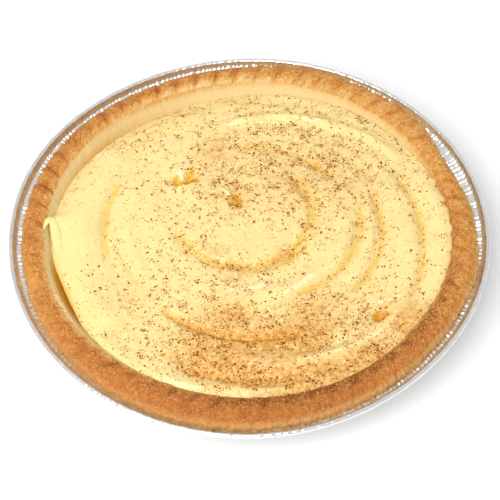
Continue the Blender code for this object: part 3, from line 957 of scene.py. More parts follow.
    def outside(self, plain: Array) -> list[CaseRing]:
        """The underside and the outer wall, which lie in the dish."""
        shape = self.shape
        low = shape.sheet + shape.gap
        rings = []
        for share in (0.0, 0.02, 0.35, 0.7, 1.0):
            height = low + (self.shoulder_height - low) * share
            points = shape.place(shape.foil_wall_radius(height) - shape.gap * share, plain, height)
            rings.append(CaseRing(points, masks={"brown": bumps(plain, self.browned)}))
        return rings

    def outer_edge(self, plain: Array) -> list[CaseRing]:
        """The rim's outer side, from where it hangs over the ledge up to its top."""
        shape = self.shape
        near = bumps(plain, self.browned)
        hang = self.edge_line(plain) - self.setback
        low = shape.place(hang, plain + shape.slant(hang), shape.over_ledge_height(hang) - self.sag)
        high = self.rim_line(0.0, plain)[0]
        rings = [CaseRing(low, masks={"brown": near, "edge": 1.0})]
        for share in (0.3, 0.6, 0.85):
            points = low + (high - low) * share
            outward = points * np.array([1.0, 1.0, 0.0])
            outward /= np.linalg.norm(outward, axis=-1, keepdims=True)
            points = points + outward * self.edge_bulge * math.sin(math.pi * share)
            edge = self.edge_tone(plain) * (1.3 - share)
            rings.append(CaseRing(points, share, {"brown": near + self.side_browning, "edge": edge}))
        return rings

    def rim_top(self, plain: Array) -> list[CaseRing]:
        """The crimped top of the rim, from its outer edge to the inner lip."""
        rings = []
        for across in np.linspace(0.0, 1.0, self.rim_rows):
            points, depth, angle = self.rim_line(float(across), plain)
            faded = bumps(angle, self.lip_paled) * smooth_step((across - 0.62) / 0.38)
            baked = self.browning + bumps(angle, self.browned) - faded
            edge = (self.edge_tone(plain) - 0.15) * smooth_step(1.0 - across / 0.2)
            rings.append(CaseRing(points, 1.0, {"brown": baked, "crease": depth, "edge": edge}))
        return rings

    def inner_wall(self, plain: Array) -> list[CaseRing]:
        """The sloping inner wall, from the lip down to the floor under the custard."""
        shape = self.shape
        angle = plain + shape.slant(shape.lip)
        middle, half_width = self.crevice_darkened
        lowest = shape.lip_height - self.exposed_depth
        exposed = np.arange(shape.lip_height - 0.5 * MM, lowest, -self.exposed_step)
        rings = []
        for height in (*exposed, *self.hidden_heights, shape.foot_height):
            down = (shape.lip_height - height) / MM
            baked = self.wall_browning + bumps(angle, self.wall_browned)
            baked = baked * np.exp(-((down / 2.6) ** 1.5))
            # Darker amber down the wall at the custard's crevice.
            wall_darkening = np.exp(-((turn_between(angle, middle) / half_width) ** 4))
            wall_darkening = wall_darkening * smooth_step((down - 1.2) / 1.2)
            # Painted shade: the far-left wall darkens towards the custard.
            wall_darkening = wall_darkening + bumps(angle, self.wall_shaded) * smooth_step((down - 1.5) / 5.0)
            points = shape.place(shape.case_wall_radius(height, angle), angle, height)
            rough = self.wall_roughness if height > lowest - 0.5 * MM else 0.0
            rings.append(CaseRing(points, rough, {"brown": baked, "wall_darkening": wall_darkening}))
        floor = shape.case_wall_radius(shape.floor_height, angle) - shape.floor_corner
        rings.append(CaseRing(shape.place(floor, angle, shape.floor_height)))
        return rings

    def powder(self, points: Array, pits: Array) -> Array:
        """How much cinnamon lies on the crust, most of it in the pits of its near side."""
        around = np.degrees(np.arctan2(points[..., 1], points[..., 0]))
        away = np.hypot(points[..., 0], points[..., 1])
        inward = np.exp(-(((away - self.dusted_radius) / self.dusted_width) ** 2))
        patchy = 0.5 + 1.5 * noise_at(points, self.dust_patch, octaves=2, seed=51.0)
        patchy = np.clip(patchy, 0.0, 1.4)
        return np.clip(bumps(around, self.dusted) * inward * 0.8 * (patchy + pits), 0.0, 1.0)

    def build(self, material: bpy.types.Material) -> None:
        """Make the case in place of its solid, and keep its top for what lies on it."""
        plain = np.arange(self.steps) * 360.0 / self.steps
        parts = (self.outside, self.outer_edge, self.rim_top, self.inner_wall)
        rings = [ring for part in parts for ring in part(plain)]
        skin = RingMesh(np.array([ring.points for ring in rings]))
        rough = np.array([ring.rough for ring in rings])[:, None]
        fibres = self.fibres(plain, len(rings))
        relief = noise_at(skin.points, self.lump_width, octaves=2, seed=1.0) * self.lumps
        relief = relief + noise_at(skin.points, self.crumb_width, octaves=3, seed=31.0) * self.crumb
        relief = relief + fibres * self.fibre_height
        skin.push(relief * rough)
        self.top = skin.points
        self.facing = skin.normals()
        self.masks = {
            name: np.array([np.broadcast_to(ring.masks.get(name, 0.0), self.steps) for ring in rings])
            for name in ("brown", "crease", "edge", "wall_darkening")
        }
        pits = np.clip(self.masks["crease"], 0.0, 1.8)
        streaks = 0.55 * fibres * (1.0 + bumps(plain, self.crease_tone))
        # Painted shade and light: the crumb's dips darker, its bumps lighter; the fibre streaks add
        # random tone.
        self.masks["crease"] = pits - (0.35 * relief / MM + streaks) * rough
        self.masks["powder"] = self.powder(skin.points, pits) * (rough > 0.2)
        piece = skin.build("dressed_pastry_case", material, self.masks)
        settle(piece, Node.CASE)


@dataclass(frozen=True)
class Stroke:
    """A ridge (rise > 0) or a groove (rise < 0) that the spoon left in the custard.

    Angles are in degrees and lengths in millimetres. outer is the half width of its outer
    flank, where that differs from the inner one.
    """

    start: float
    end: float
    start_radius: float
    end_radius: float
    half_width: float
    rise: float
    fade: float = 16.0
    outer: float = 0.0

    def rise_at(self, radius: Array, angle: Array) -> Array:
        """What the stroke adds at a radius in millimetres and an angle."""
        span = self.end - self.start
        along = (angle - self.start) % 360.0
        ends = smooth_step(along / self.fade) * smooth_step((span - along) / self.fade)
        away = radius - (self.start_radius + (self.end_radius - self.start_radius) * along / span)
        width = np.where(away > 0.0, self.outer or self.half_width, self.half_width)
        return np.where(along <= span, self.rise * ends * np.exp(-((away / width) ** 2)), 0.0)


@dataclass(frozen=True)
class Pit:
    """A hollow that the spoon tip tore: its place, sizes along and across, and depth."""

    angle: float
    radius: float
    length: float
    width: float
    depth: float
    turn: float

    def depth_at(self, radius: Array, angle: Array) -> Array:
        """How deep the pit is at a radius in millimetres and an angle."""
        centre = math.radians(self.angle)
        offset_x = radius * np.cos(np.radians(angle)) - self.radius * math.cos(centre)
        offset_y = radius * np.sin(np.radians(angle)) - self.radius * math.sin(centre)
        axis = math.radians(self.turn)
        along = offset_x * math.cos(axis) + offset_y * math.sin(axis)
        across = offset_y * math.cos(axis) - offset_x * math.sin(axis)
        return self.depth * np.exp(-((along / self.length) ** 2) - (across / self.width) ** 2)


STROKES = (
    Stroke(138, 224, 78.0, 80.0, 9.0, 1.9, 7.0),
    Stroke(142, 214, 59.0, 54.0, 5.5, 0.8),
    Stroke(150, 205, 46.0, 39.0, 5.5, 0.5),
    Stroke(245, 378, 37.5, 45.0, 5.0, 1.1),
    Stroke(318, 382, 54.0, 57.5, 3.5, 0.7),
    Stroke(325, 388, 72.0, 70.0, 6.0, 0.8),
    Stroke(258, 312, 68.0, 83.0, 3.6, 1.5),
    Stroke(304, 366, 83.0, 75.5, 3.8, 0.9),
    Stroke(235, 300, 88.0, 87.0, 3.5, 0.8),
    Stroke(328, 386, 88.5, 87.0, 3.6, 0.7),
    Stroke(24, 106, 85.0, 65.0, 3.4, 1.3),
    Stroke(96, 138, 62.0, 60.0, 6.0, 0.5),
    Stroke(60, 118, 28.0, 31.0, 4.0, 0.5),
    Stroke(142, 202, 69.0, 66.5, 2.7, -1.1),
    Stroke(178, 214, 62.0, 57.0, 2.7, -0.6),
    Stroke(172, 254, 35.0, 20.2, 3.0, -1.0),
    Stroke(236, 334, 20.0, 24.0, 3.4, -1.5),
    Stroke(318, 424, 23.5, 38.0, 3.4, -1.2),
    Stroke(290, 380, 42.0, 54.5, 2.7, -1.1),
    Stroke(314, 386, 59.0, 62.5, 2.7, -1.0),
    Stroke(322, 394, 83.0, 77.0, 2.7, -0.9),
    Stroke(226, 292, 58.5, 60.5, 2.7, -1.3, 8.0),
    Stroke(234, 302, 77.0, 88.0, 3.6, -0.8),
    Stroke(58, 126, 72.0, 57.0, 3.0, -0.6),
    Stroke(16, 66, 66.0, 64.0, 3.2, -0.5),
    Stroke(28, 104, 50.0, 52.0, 3.4, -0.5),
)

PITS = (
    Pit(133.0, 44.0, 6.5, 3.2, 2.4, 12.0),
    Pit(107.0, 19.0, 5.0, 3.6, 1.6, 95.0),
    Pit(318.5, 77.0, 3.4, 2.8, 2.4, 50.0),
    Pit(51.0, 51.0, 3.0, 1.8, 1.0, 130.0),
)

# The creases and thin lips inside those strokes, with rises in millimetres.
CREASES = (
    Stroke(137, 148, 71.0, 92.0, 3.0, 0.45, 3.0, 8.0),
    Stroke(150, 196, 67.0, 66.0, 1.2, -0.45, 9.0),
    Stroke(150, 190, 70.5, 69.5, 1.6, 0.25, 9.0),
    Stroke(186, 212, 61.5, 58.0, 1.0, -0.3, 8.0),
    Stroke(176, 214, 33.0, 24.5, 1.2, -0.35, 9.0),
    Stroke(206, 250, 25.5, 20.4, 1.1, -0.45, 9.0),
    Stroke(262, 312, 20.0, 21.0, 1.3, -0.4, 10.0),
    Stroke(318, 366, 22.5, 26.5, 1.1, -0.5, 8.0),
    Stroke(250, 290, 36.0, 31.5, 1.4, 0.6, 9.0, 2.4),
    Stroke(284, 322, 41.5, 39.0, 1.3, 0.5, 9.0, 2.2),
    Stroke(296, 352, 42.5, 51.0, 1.0, -0.5, 9.0),
    Stroke(352, 380, 52.0, 54.5, 1.1, -0.35, 9.0),
    Stroke(318, 352, 57.5, 62.5, 1.0, -0.45, 8.0),
    Stroke(346, 382, 63.0, 61.0, 1.1, -0.35, 9.0),
    Stroke(328, 352, 83.0, 81.0, 1.0, -0.45, 8.0),
    Stroke(350, 389, 81.0, 77.0, 1.1, -0.35, 9.0),
    Stroke(26, 52, 84.0, 79.0, 1.4, 0.3, 8.0),
    Stroke(52, 104, 78.5, 64.0, 1.3, 0.45, 9.0, 2.2),
    Stroke(58, 92, 75.0, 67.5, 1.0, -0.3, 8.0),
    Stroke(226, 286, 58.8, 60.8, 0.9, -0.6, 6.0),
    Stroke(228, 262, 62.6, 64.0, 1.6, 0.3, 7.0),
    Stroke(260, 284, 69.0, 75.5, 1.1, 0.45, 7.0, 1.8),
    Stroke(280, 320, 74.5, 84.0, 1.4, 0.55, 8.0, 1.0),
    Stroke(238, 262, 88.5, 89.0, 1.2, 0.35, 6.0, 0.8),
    Stroke(268, 296, 87.5, 88.0, 1.2, 0.35, 6.0, 0.8),
    Stroke(108, 119, 19.0, 31.0, 1.5, 0.7, 4.0),
    Stroke(58, 78, 37.0, 42.0, 1.0, 0.45, 6.0),
    Stroke(48, 60, 44.5, 46.5, 1.0, 0.5, 4.0),
    Stroke(320, 331, 69.0, 80.0, 1.6, 0.6, 3.0),
    Stroke(124, 142, 50.0, 47.0, 1.1, 0.45, 5.0),
    Stroke(114, 150, 78.0, 71.0, 1.6, -0.25, 10.0, 4.0),
    Stroke(64, 128, 82.0, 74.0, 1.6, -0.2, 12.0, 5.0),
)

# The steep sides of those pits, and the lips and ridges between them (depth < 0).
TEARS = (
    Pit(137.3, 45.6, 2.8, 1.5, 1.1, 90.0),
    Pit(128.0, 44.2, 4.4, 1.3, 1.0, 76.0),
    Pit(132.2, 46.5, 3.0, 1.1, -0.7, 85.0),
    Pit(139.5, 40.8, 3.4, 1.0, -0.5, 30.0),
    Pit(112.0, 24.4, 2.6, 1.0, -0.8, 95.0),
    Pit(319.8, 76.4, 4.2, 1.5, 1.2, 5.0),
    Pit(318.3, 78.9, 4.6, 1.0, -0.5, 5.0),
)


# What the finish reads where the custard lies hidden in the case: full painted hollow shade and some
# painted pit shade.
HIDDEN = {"hollow_shade": 1.0, "groove_shade": 0.0, "crest": 0.0, "pit": 0.3, "powder": 0.0}


@dataclass
class CustardFilling:
    """The custard: its swirled top from edge to middle, over the form of the solid."""

    shape: TartShape
    gap: float = -0.1 * MM
    level: float = 24.3 * MM
    dome: float = 1.0 * MM
    shoulder: float = 13.0 * MM
    rim_level: float = 24.8 * MM
    roll: float = 1.6 * MM
    swirl_depth: float = 1.3 * MM
    swells: tuple[Bump, ...] = (
        (118.0, 45.0, -4.2 * MM), (175.0, 2.6, 2.6 * MM), (250.0, 40.0, 0.7 * MM),
        (355.0, 24.0, 2.4 * MM),
    )
    crevice: tuple[Bump, ...] = ((202.0, 11.0, 2.3 * MM),)
    # Painted shadow: where the crevice at the custard's shrunk edge is darkened into the hollow and pit
    # shades.
    crevice_shadow: tuple[Bump, ...] = ((202.0, 12.0, 1.0),)
    shrunk_width: float = 1.2 * MM
    flattened: tuple[Bump, ...] = ((284.0, 36.0, 0.7), (244.0, 22.0, 0.45))
    lapped: tuple[Bump, ...] = ((280.0, 3.4, 1.6 * MM), (294.5, 4.0, 1.5 * MM), (303.5, 1.6, 0.9 * MM))
    scallops: tuple[float, float, float] = (0.5 * MM, 60.0, 97.0)
    scalloped: tuple[Bump, ...] = ((14.0, 32.0, 1.0),)
    torn_edge: float = 0.9 * MM
    torn_length: float = 0.05
    torn: tuple[Bump, ...] = ((280.0, 60.0, 1.0), (20.0, 30.0, 0.6))
    lip_width: float = 3.0 * MM
    steps: int = 640
    rings: int = 146
    streak_turns: float = 2.4
    streak_length: float = 3.4 * MM
    streak_height: float = 0.3 * MM
    thread_turns: float = 4.0
    thread_length: float = 1.3 * MM
    thread_height: float = 0.12 * MM
    wrinkle_height: float = 0.1 * MM
    wrinkle_width: float = 2.6 * MM
    creases_stressed: float = 1.2
    fine_stressed: float = 1.6
    caught_in_hollows: float = 0.44
    caught_range: tuple[float, float] = (0.35, 2.2)
    lump_seed: int = 3
    lump_waves: int = 9
    lump_lengths: tuple[float, float] = (14.0 * MM, 34.0 * MM)
    lump_height: float = 0.11 * MM
    haze: tuple[Drift, ...] = (
        (281.0, 78.0, 20.0, 1.9), (258.0, 87.0, 8.0, 0.5), (298.0, 90.0, 7.0, 1.0),
        (255.0, 66.0, 16.0, 1.1), (268.0, 76.0, 7.0, 1.2), (303.0, 76.0, 7.0, -0.7),
        (305.0, 88.0, 9.0, 1.4), (322.0, 90.0, 9.0, 1.6), (300.0, 92.0, 12.0, 1.0),
        (288.0, 91.0, 7.0, 1.8), (276.0, 76.0, 7.0, 1.8), (300.0, 60.0, 14.0, 0.75),
        (270.0, 73.0, 6.0, 1.2), (325.0, 80.0, 10.0, 0.4), (215.0, 76.0, 16.0, 0.4),
        (218.0, 21.0, 5.0, 0.5), (35.0, 55.0, 26.0, 0.3), (75.0, 38.0, 18.0, 0.36),
        (110.0, 24.0, 12.0, 0.32), (345.0, 62.0, 18.0, 0.08), (255.0, 24.0, 8.0, 0.4),
        (262.0, 44.0, 8.0, 0.9), (320.0, 22.0, 6.0, 0.5), (108.0, 52.0, 7.0, 0.8),
        (268.0, 13.0, 7.0, 0.15),
    )
    haze_everywhere: float = 0.06
    full_hollow: float = 1.5 * MM
    full_seam: float = 0.55
    full_crest: float = 0.5 * MM
    packed: bool = False
    lumps: list[tuple[float, float, float]] = field(default_factory=list, init=False)

    def __post_init__(self) -> None:
        """Draw the soft lumps as the solid has them."""
        rng = random.Random(self.lump_seed)
        self.lumps = [
            (rng.uniform(0.0, math.tau), rng.uniform(*self.lump_lengths), rng.uniform(0.0, math.tau))
            for _ in range(self.lump_waves)
        ]

    def flatness(self, angle: Array) -> Array:
        """How flat the dressed custard meets the case: 1 where its edge has no roll."""
        return bumps(angle, () if self.packed else self.flattened)

    def lap(self, angle: Array) -> Array:
        """How far the dressed custard was smeared up over the case's lip."""
        return bumps(angle, () if self.packed else self.lapped)

    def edge_height(self, angle: Array) -> Array:
        """The height at which the custard meets the case."""
        raised = self.flatness(angle) * self.roll + self.lap(angle)
        return self.rim_level + bumps(angle, self.swells) + raised

    def edge_radius(self, angle: Array) -> Array:
        """The radius of the custard's top edge."""
        wall = self.shape.case_wall_radius(self.edge_height(angle), angle)
        return wall - self.gap - bumps(angle, self.crevice)

    def swirls(self, radius: Array, angle: Array) -> Array:
        """The height of the strokes and pits that the solid has, in metres."""
        total = sum(stroke.rise_at(radius / MM, angle) for stroke in STROKES)
        total = total - sum(pit.depth_at(radius / MM, angle) for pit in PITS)
        return total * self.swirl_depth

    def soft_lumps(self, radius: Array, angle: Array) -> Array:
        """The height of the soft lumps over the whole top."""
        x = radius * np.cos(np.radians(angle))
        y = radius * np.sin(np.radians(angle))
        waves = sum(
            np.sin(math.tau * (x * math.cos(way) + y * math.sin(way)) / length + phase)
            for way, length, phase in self.lumps
        )
        return self.lump_height * waves

    def ease(self, radius: Array, angle: Array) -> Array:
        """How freely the top may swell: not at all where it meets the case."""
        return smooth_step((self.edge_radius(angle) - radius) / (2.0 * self.roll))

    def plain_height(self, radius: Array, angle: Array) -> Array:
        """The height of the top without its fine relief."""
        inward = self.edge_radius(angle) - radius
        middle = self.level + self.dome * (1.0 - (radius / self.shape.lip) ** 2)
        edge = self.edge_height(angle) - self.lap(angle) * (1.0 - np.exp(-inward / (0.8 * self.roll)))
        flat = self.flatness(angle)
        base = edge + (middle + flat * self.roll - edge) * smooth_step(inward / self.shoulder)
        rolled = self.roll * (1.0 - flat) * (1.0 - np.exp(-inward / self.roll))
        relief = self.swirls(radius, angle) + self.soft_lumps(radius, angle)
        return base + rolled + relief * self.ease(radius, angle)

    def fine_relief(self, radius: Array, angle: Array) -> tuple[Array, Array]:
        """The relief that the solid leaves out.

        Args:
            radius: in metres.
            angle: in degrees.

        Returns:
            The creases' height, and the height of streaks and wrinkles.
        """
        creases = sum(stroke.rise_at(radius / MM, angle) for stroke in CREASES)
        creases = (creases - sum(tear.depth_at(radius / MM, angle) for tear in TEARS)) * MM
        along = spot_at(self.streak_turns, angle, radius / self.streak_length)
        fine = noise_at(along, 1.0, octaves=2, seed=4.0) * self.streak_height
        along = spot_at(self.thread_turns, angle, radius / self.thread_length)
        fine = fine + noise_at(along, 1.0, octaves=2, seed=27.0) * self.thread_height
        place = spot_at(radius, angle, 0.0)
        wrinkles = noise_at(place, self.wrinkle_width, octaves=2, seed=12.0) * self.wrinkle_height
        return creases, fine + wrinkles

    def groove_shade(self, radius: Array, angle: Array) -> Array:
        """Where painted shade darkens the spoon's thin creases to a deeper yellow, from 0 to 1."""
        drawn = sum(stroke.rise_at(radius / MM, angle) for stroke in CREASES if stroke.rise < 0.0)
        return np.clip(-drawn / self.full_seam, 0.0, 1.0) ** 1.4

    def relief(self, radius: Array, angle: Array) -> Array:
        """How far each place stands over or under the plain top, with its fine creases stressed."""
        creases, fine = self.fine_relief(radius, angle)
        stressed = self.creases_stressed * creases
        return self.swirls(radius, angle) + stressed + self.fine_stressed * fine

    def caught(self, relief: Array) -> Array:
        """How much of the powder stays at a relief: more in hollows, less on ridges."""
        return np.clip(0.9 - self.caught_in_hollows * relief / MM, *self.caught_range)

    def height(self, radius: Array, angle: Array) -> Array:
        """The height of the dressed top."""
        creases, fine = self.fine_relief(radius, angle)
        return self.plain_height(radius, angle) + (creases + fine) * self.ease(radius, angle)

    def scallop(self, angle: Array) -> Array:
        """The custard's wavy lip where it meets the case on the right."""
        depth, first, second = self.scallops
        waves = np.sin(np.radians(first * angle)) + 0.6 * np.sin(np.radians(second * angle + 70.0))
        wavy = depth * waves * bumps(angle, self.scalloped)
        place = spot_at(1.0, angle, 0.0)
        torn = noise_at(place, self.torn_length, octaves=3, seed=8.0) * self.torn_edge
        return wavy + torn * bumps(angle, self.torn) - 0.6 * self.lap(angle)

    def underside(self, angle: Array) -> Array:
        """The rings of the bottom and the side, which lie in the case."""
        shape = self.shape
        floor = shape.floor_height + shape.gap
        foot = shape.foot_height + shape.gap
        side = self.edge_height(angle) - 2.0 * self.roll
        insets = ((floor, shape.floor_corner + self.gap), (foot, self.gap), (side, self.gap))
        return np.array(
            [
                shape.place(shape.case_wall_radius(height, angle) - inset, angle, height)
                for height, inset in insets
            ]
        )

    def top_masks(self, radius: Array, angle: Array) -> dict[str, Array]:
        """What the finish reads on the top, by name."""
        relief = self.relief(radius, angle)
        creases = self.fine_relief(radius, angle)[0]
        deep = [pit for pit in (*PITS, *TEARS) if pit.depth > 0.0]
        torn = sum(pit.depth_at(radius / MM, angle) / pit.depth for pit in deep)
        haze = drifts(radius, angle, self.haze) + self.haze_everywhere
        inward = (self.edge_radius(angle) - radius) / self.shrunk_width
        # Painted shadow along the custard's edge at the crevice.
        crevice_shadow = bumps(angle, self.crevice_shadow) * np.exp(-(inward**2))
        return {
            # Painted shade: darker where the relief dips, and at the crevice.
            "hollow_shade": smooth_step(-relief / self.full_hollow) + 0.35 * crevice_shadow,
            "groove_shade": self.groove_shade(radius, angle),
            # Painted highlight where the fine creases rise.
            "crest": np.clip(creases / self.full_crest, 0.0, 1.0) ** 1.5,
            # Painted shade in the deep pits and the crevice.
            "pit": np.clip(0.8 * smooth_step(1.6 * torn - 0.5) + 0.5 * crevice_shadow, 0.0, 1.0),
            "powder": np.clip(haze * self.caught(relief), 0.0, 1.0),
        }

    def build(self, material: bpy.types.Material) -> None:
        """Make the custard in place of its solid."""
        angle = np.arange(self.steps) * 360.0 / self.steps
        share = 1.0 - np.arange(self.rings) / self.rings
        edge = self.edge_radius(angle)
        radius = share[:, None] * edge
        around = np.broadcast_to(angle, radius.shape)
        lip = np.exp(-((edge - radius) / self.lip_width))
        height = self.height(radius, around)
        top = self.shape.place(radius - self.scallop(around) * lip, around, height)
        under = self.underside(angle)
        masks = {
            name: np.concatenate([np.full(under.shape[:2], HIDDEN[name]), values])
            for name, values in self.top_masks(radius, around).items()
        }
        skin = RingMesh(np.concatenate([under, top]))
        piece = skin.build("dressed_custard", material, masks)
        settle(piece, Node.FILLING)


@dataclass
class CustardTail:
    """The wisp that the spoon pulled from the custard up onto the left wall of the case."""

    shape: TartShape
    angles: tuple[float, ...] = (189.5, 186.0, 182.2, 178.8, 176.6, 175.6, 176.2, 177.7, 179.3)
    radii: tuple[float, ...] = (87.4, 88.0, 88.8, 89.6, 90.5, 92.0, 93.4, 94.3, 95.0)
    heights: tuple[float, ...] = (24.2, 25.2, 26.0, 26.8, 27.4, 28.1, 28.6, 28.5, 28.1)
    widths: tuple[float, ...] = (1.2, 2.1, 2.5, 2.4, 2.3, 2.0, 1.5, 0.9, 0.2)
    rings: int = 60
    sides: int = 20
    flatness: float = 0.62

    def build(self, material: bpy.types.Material) -> None:
        """Sweep a tapering, flattened body along the wisp's bend."""
        known = np.linspace(0.0, 1.0, len(self.angles))
        along = np.linspace(0.0, 1.0, self.rings)
        angle, radius, height, width = (
            curve_through(known, values, along)
            for values in (self.angles, self.radii, self.heights, self.widths)
        )
        spine = self.shape.place(radius * MM, angle, height * MM)
        ahead = np.gradient(spine, axis=0)
        ahead /= np.linalg.norm(ahead, axis=-1, keepdims=True)
        across = np.cross(ahead, np.array([0.0, 0.0, 1.0]))
        across /= np.linalg.norm(across, axis=-1, keepdims=True)
        up = np.cross(across, ahead)
        turns = -np.arange(self.sides) * math.tau / self.sides
        swell = (width * MM)[:, None, None]
        ring = np.cos(turns)[None, :, None] * across[:, None, :]
        ring = ring + self.flatness * np.sin(turns)[None, :, None] * up[:, None, :]
        skin = RingMesh(spine[:, None, :] + ring * swell)
        blank = np.zeros((self.rings, self.sides))
        masks = {name: blank for name in HIDDEN}
        piece = skin.build("custard_tail", material, masks)
        settle(piece)


@dataclass
class GrainPile:
    """Many loose grains, joined into one mesh."""

    name: str
    seed: int
    unevenness: float = 0.22
    rng: np.random.Generator = field(init=False)

    def __post_init__(self) -> None:
        """Start the draw."""
        self.rng = np.random.default_rng(self.seed)

    def shades(self, sizes: Array, darkening: float) -> Array:
        """Draw each grain's shade, from 0, dark, to 1: the larger grains are the darker ones."""
        light = self.rng.random(len(sizes)) ** 0.45
        return np.clip(light - darkening * (sizes[:, 0] / np.median(sizes[:, 0]) - 1.0), -0.3, 1.0)

    def build(
        self,
        spots: Array,
        sizes: Array,
        facing: Array,
        material: bpy.types.Material,
        darkening: float = 0.0,
    ) -> bpy.types.Object:
        """Put an uneven eight-sided grain at each spot.

        Args:
            spots: the grains' middles.
            sizes: their half lengths, half widths and half heights.
            facing: the outward direction of what each one lies on.
            material: their finish.
            darkening: how much darker a grain of twice the usual length is.

        Returns:
            The piece.
        """
        count = len(spots)
        axes = np.array([(1, 0, 0), (0, 1, 0), (-1, 0, 0), (0, -1, 0), (0, 0, 1), (0, 0, -1)], float)
        upper = [(number, (number + 1) % 4, 4) for number in range(4)]
        lower = [((number + 1) % 4, number, 5) for number in range(4)]
        faces = np.array(upper + lower)
        jitter = self.rng.uniform(-self.unevenness, self.unevenness, (count, 6, 3))
        local = (axes[None] + jitter) * sizes[:, None, :]
        turn = self.rng.uniform(0.0, math.tau, count)
        helper = np.stack([np.cos(turn), np.sin(turn), np.zeros(count)], axis=-1)
        side = np.cross(facing, helper)
        side /= np.maximum(np.linalg.norm(side, axis=-1, keepdims=True), 1e-9)
        ahead = np.cross(side, facing)
        basis = np.stack([ahead, side, facing], axis=1)
        corners = np.einsum("nci,nij->ncj", local, basis) + spots[:, None, :]
        indices = faces[None] + 6 * np.arange(count)[:, None, None]
        mesh = bpy.data.meshes.new(self.name)
        mesh.from_pydata(corners.reshape(-1, 3).tolist(), [], indices.reshape(-1, 3).tolist())
        add_mask(mesh, "shade", np.repeat(self.shades(sizes, darkening), 6))
        return make_piece(self.name, mesh, material)


@dataclass(frozen=True)
class Powder:
    """One kind of loose grains: how many, and their usual half length.

    Each row of clumps has their share, their fewest and most grains, and their spread.
    """

    name: str
    seed: int
    count: int
    size: float
    clumps: tuple[tuple[float, int, int, float], ...]


POWDERS = (
    Powder(
        "cinnamon_grains",
        seed=23,
        count=21000,
        size=0.225 * MM,
        clumps=((0.74, 1, 1, 0.0), (0.23, 2, 5, 0.5 * MM), (0.03, 6, 12, 1.0 * MM)),
    ),
    Powder(
        "cinnamon_dust",
        seed=24,
        count=24000,
        size=0.12 * MM,
        clumps=((0.6, 1, 1, 0.0), (0.28, 5, 14, 0.4 * MM), (0.12, 12, 30, 0.7 * MM)),
    ),
)


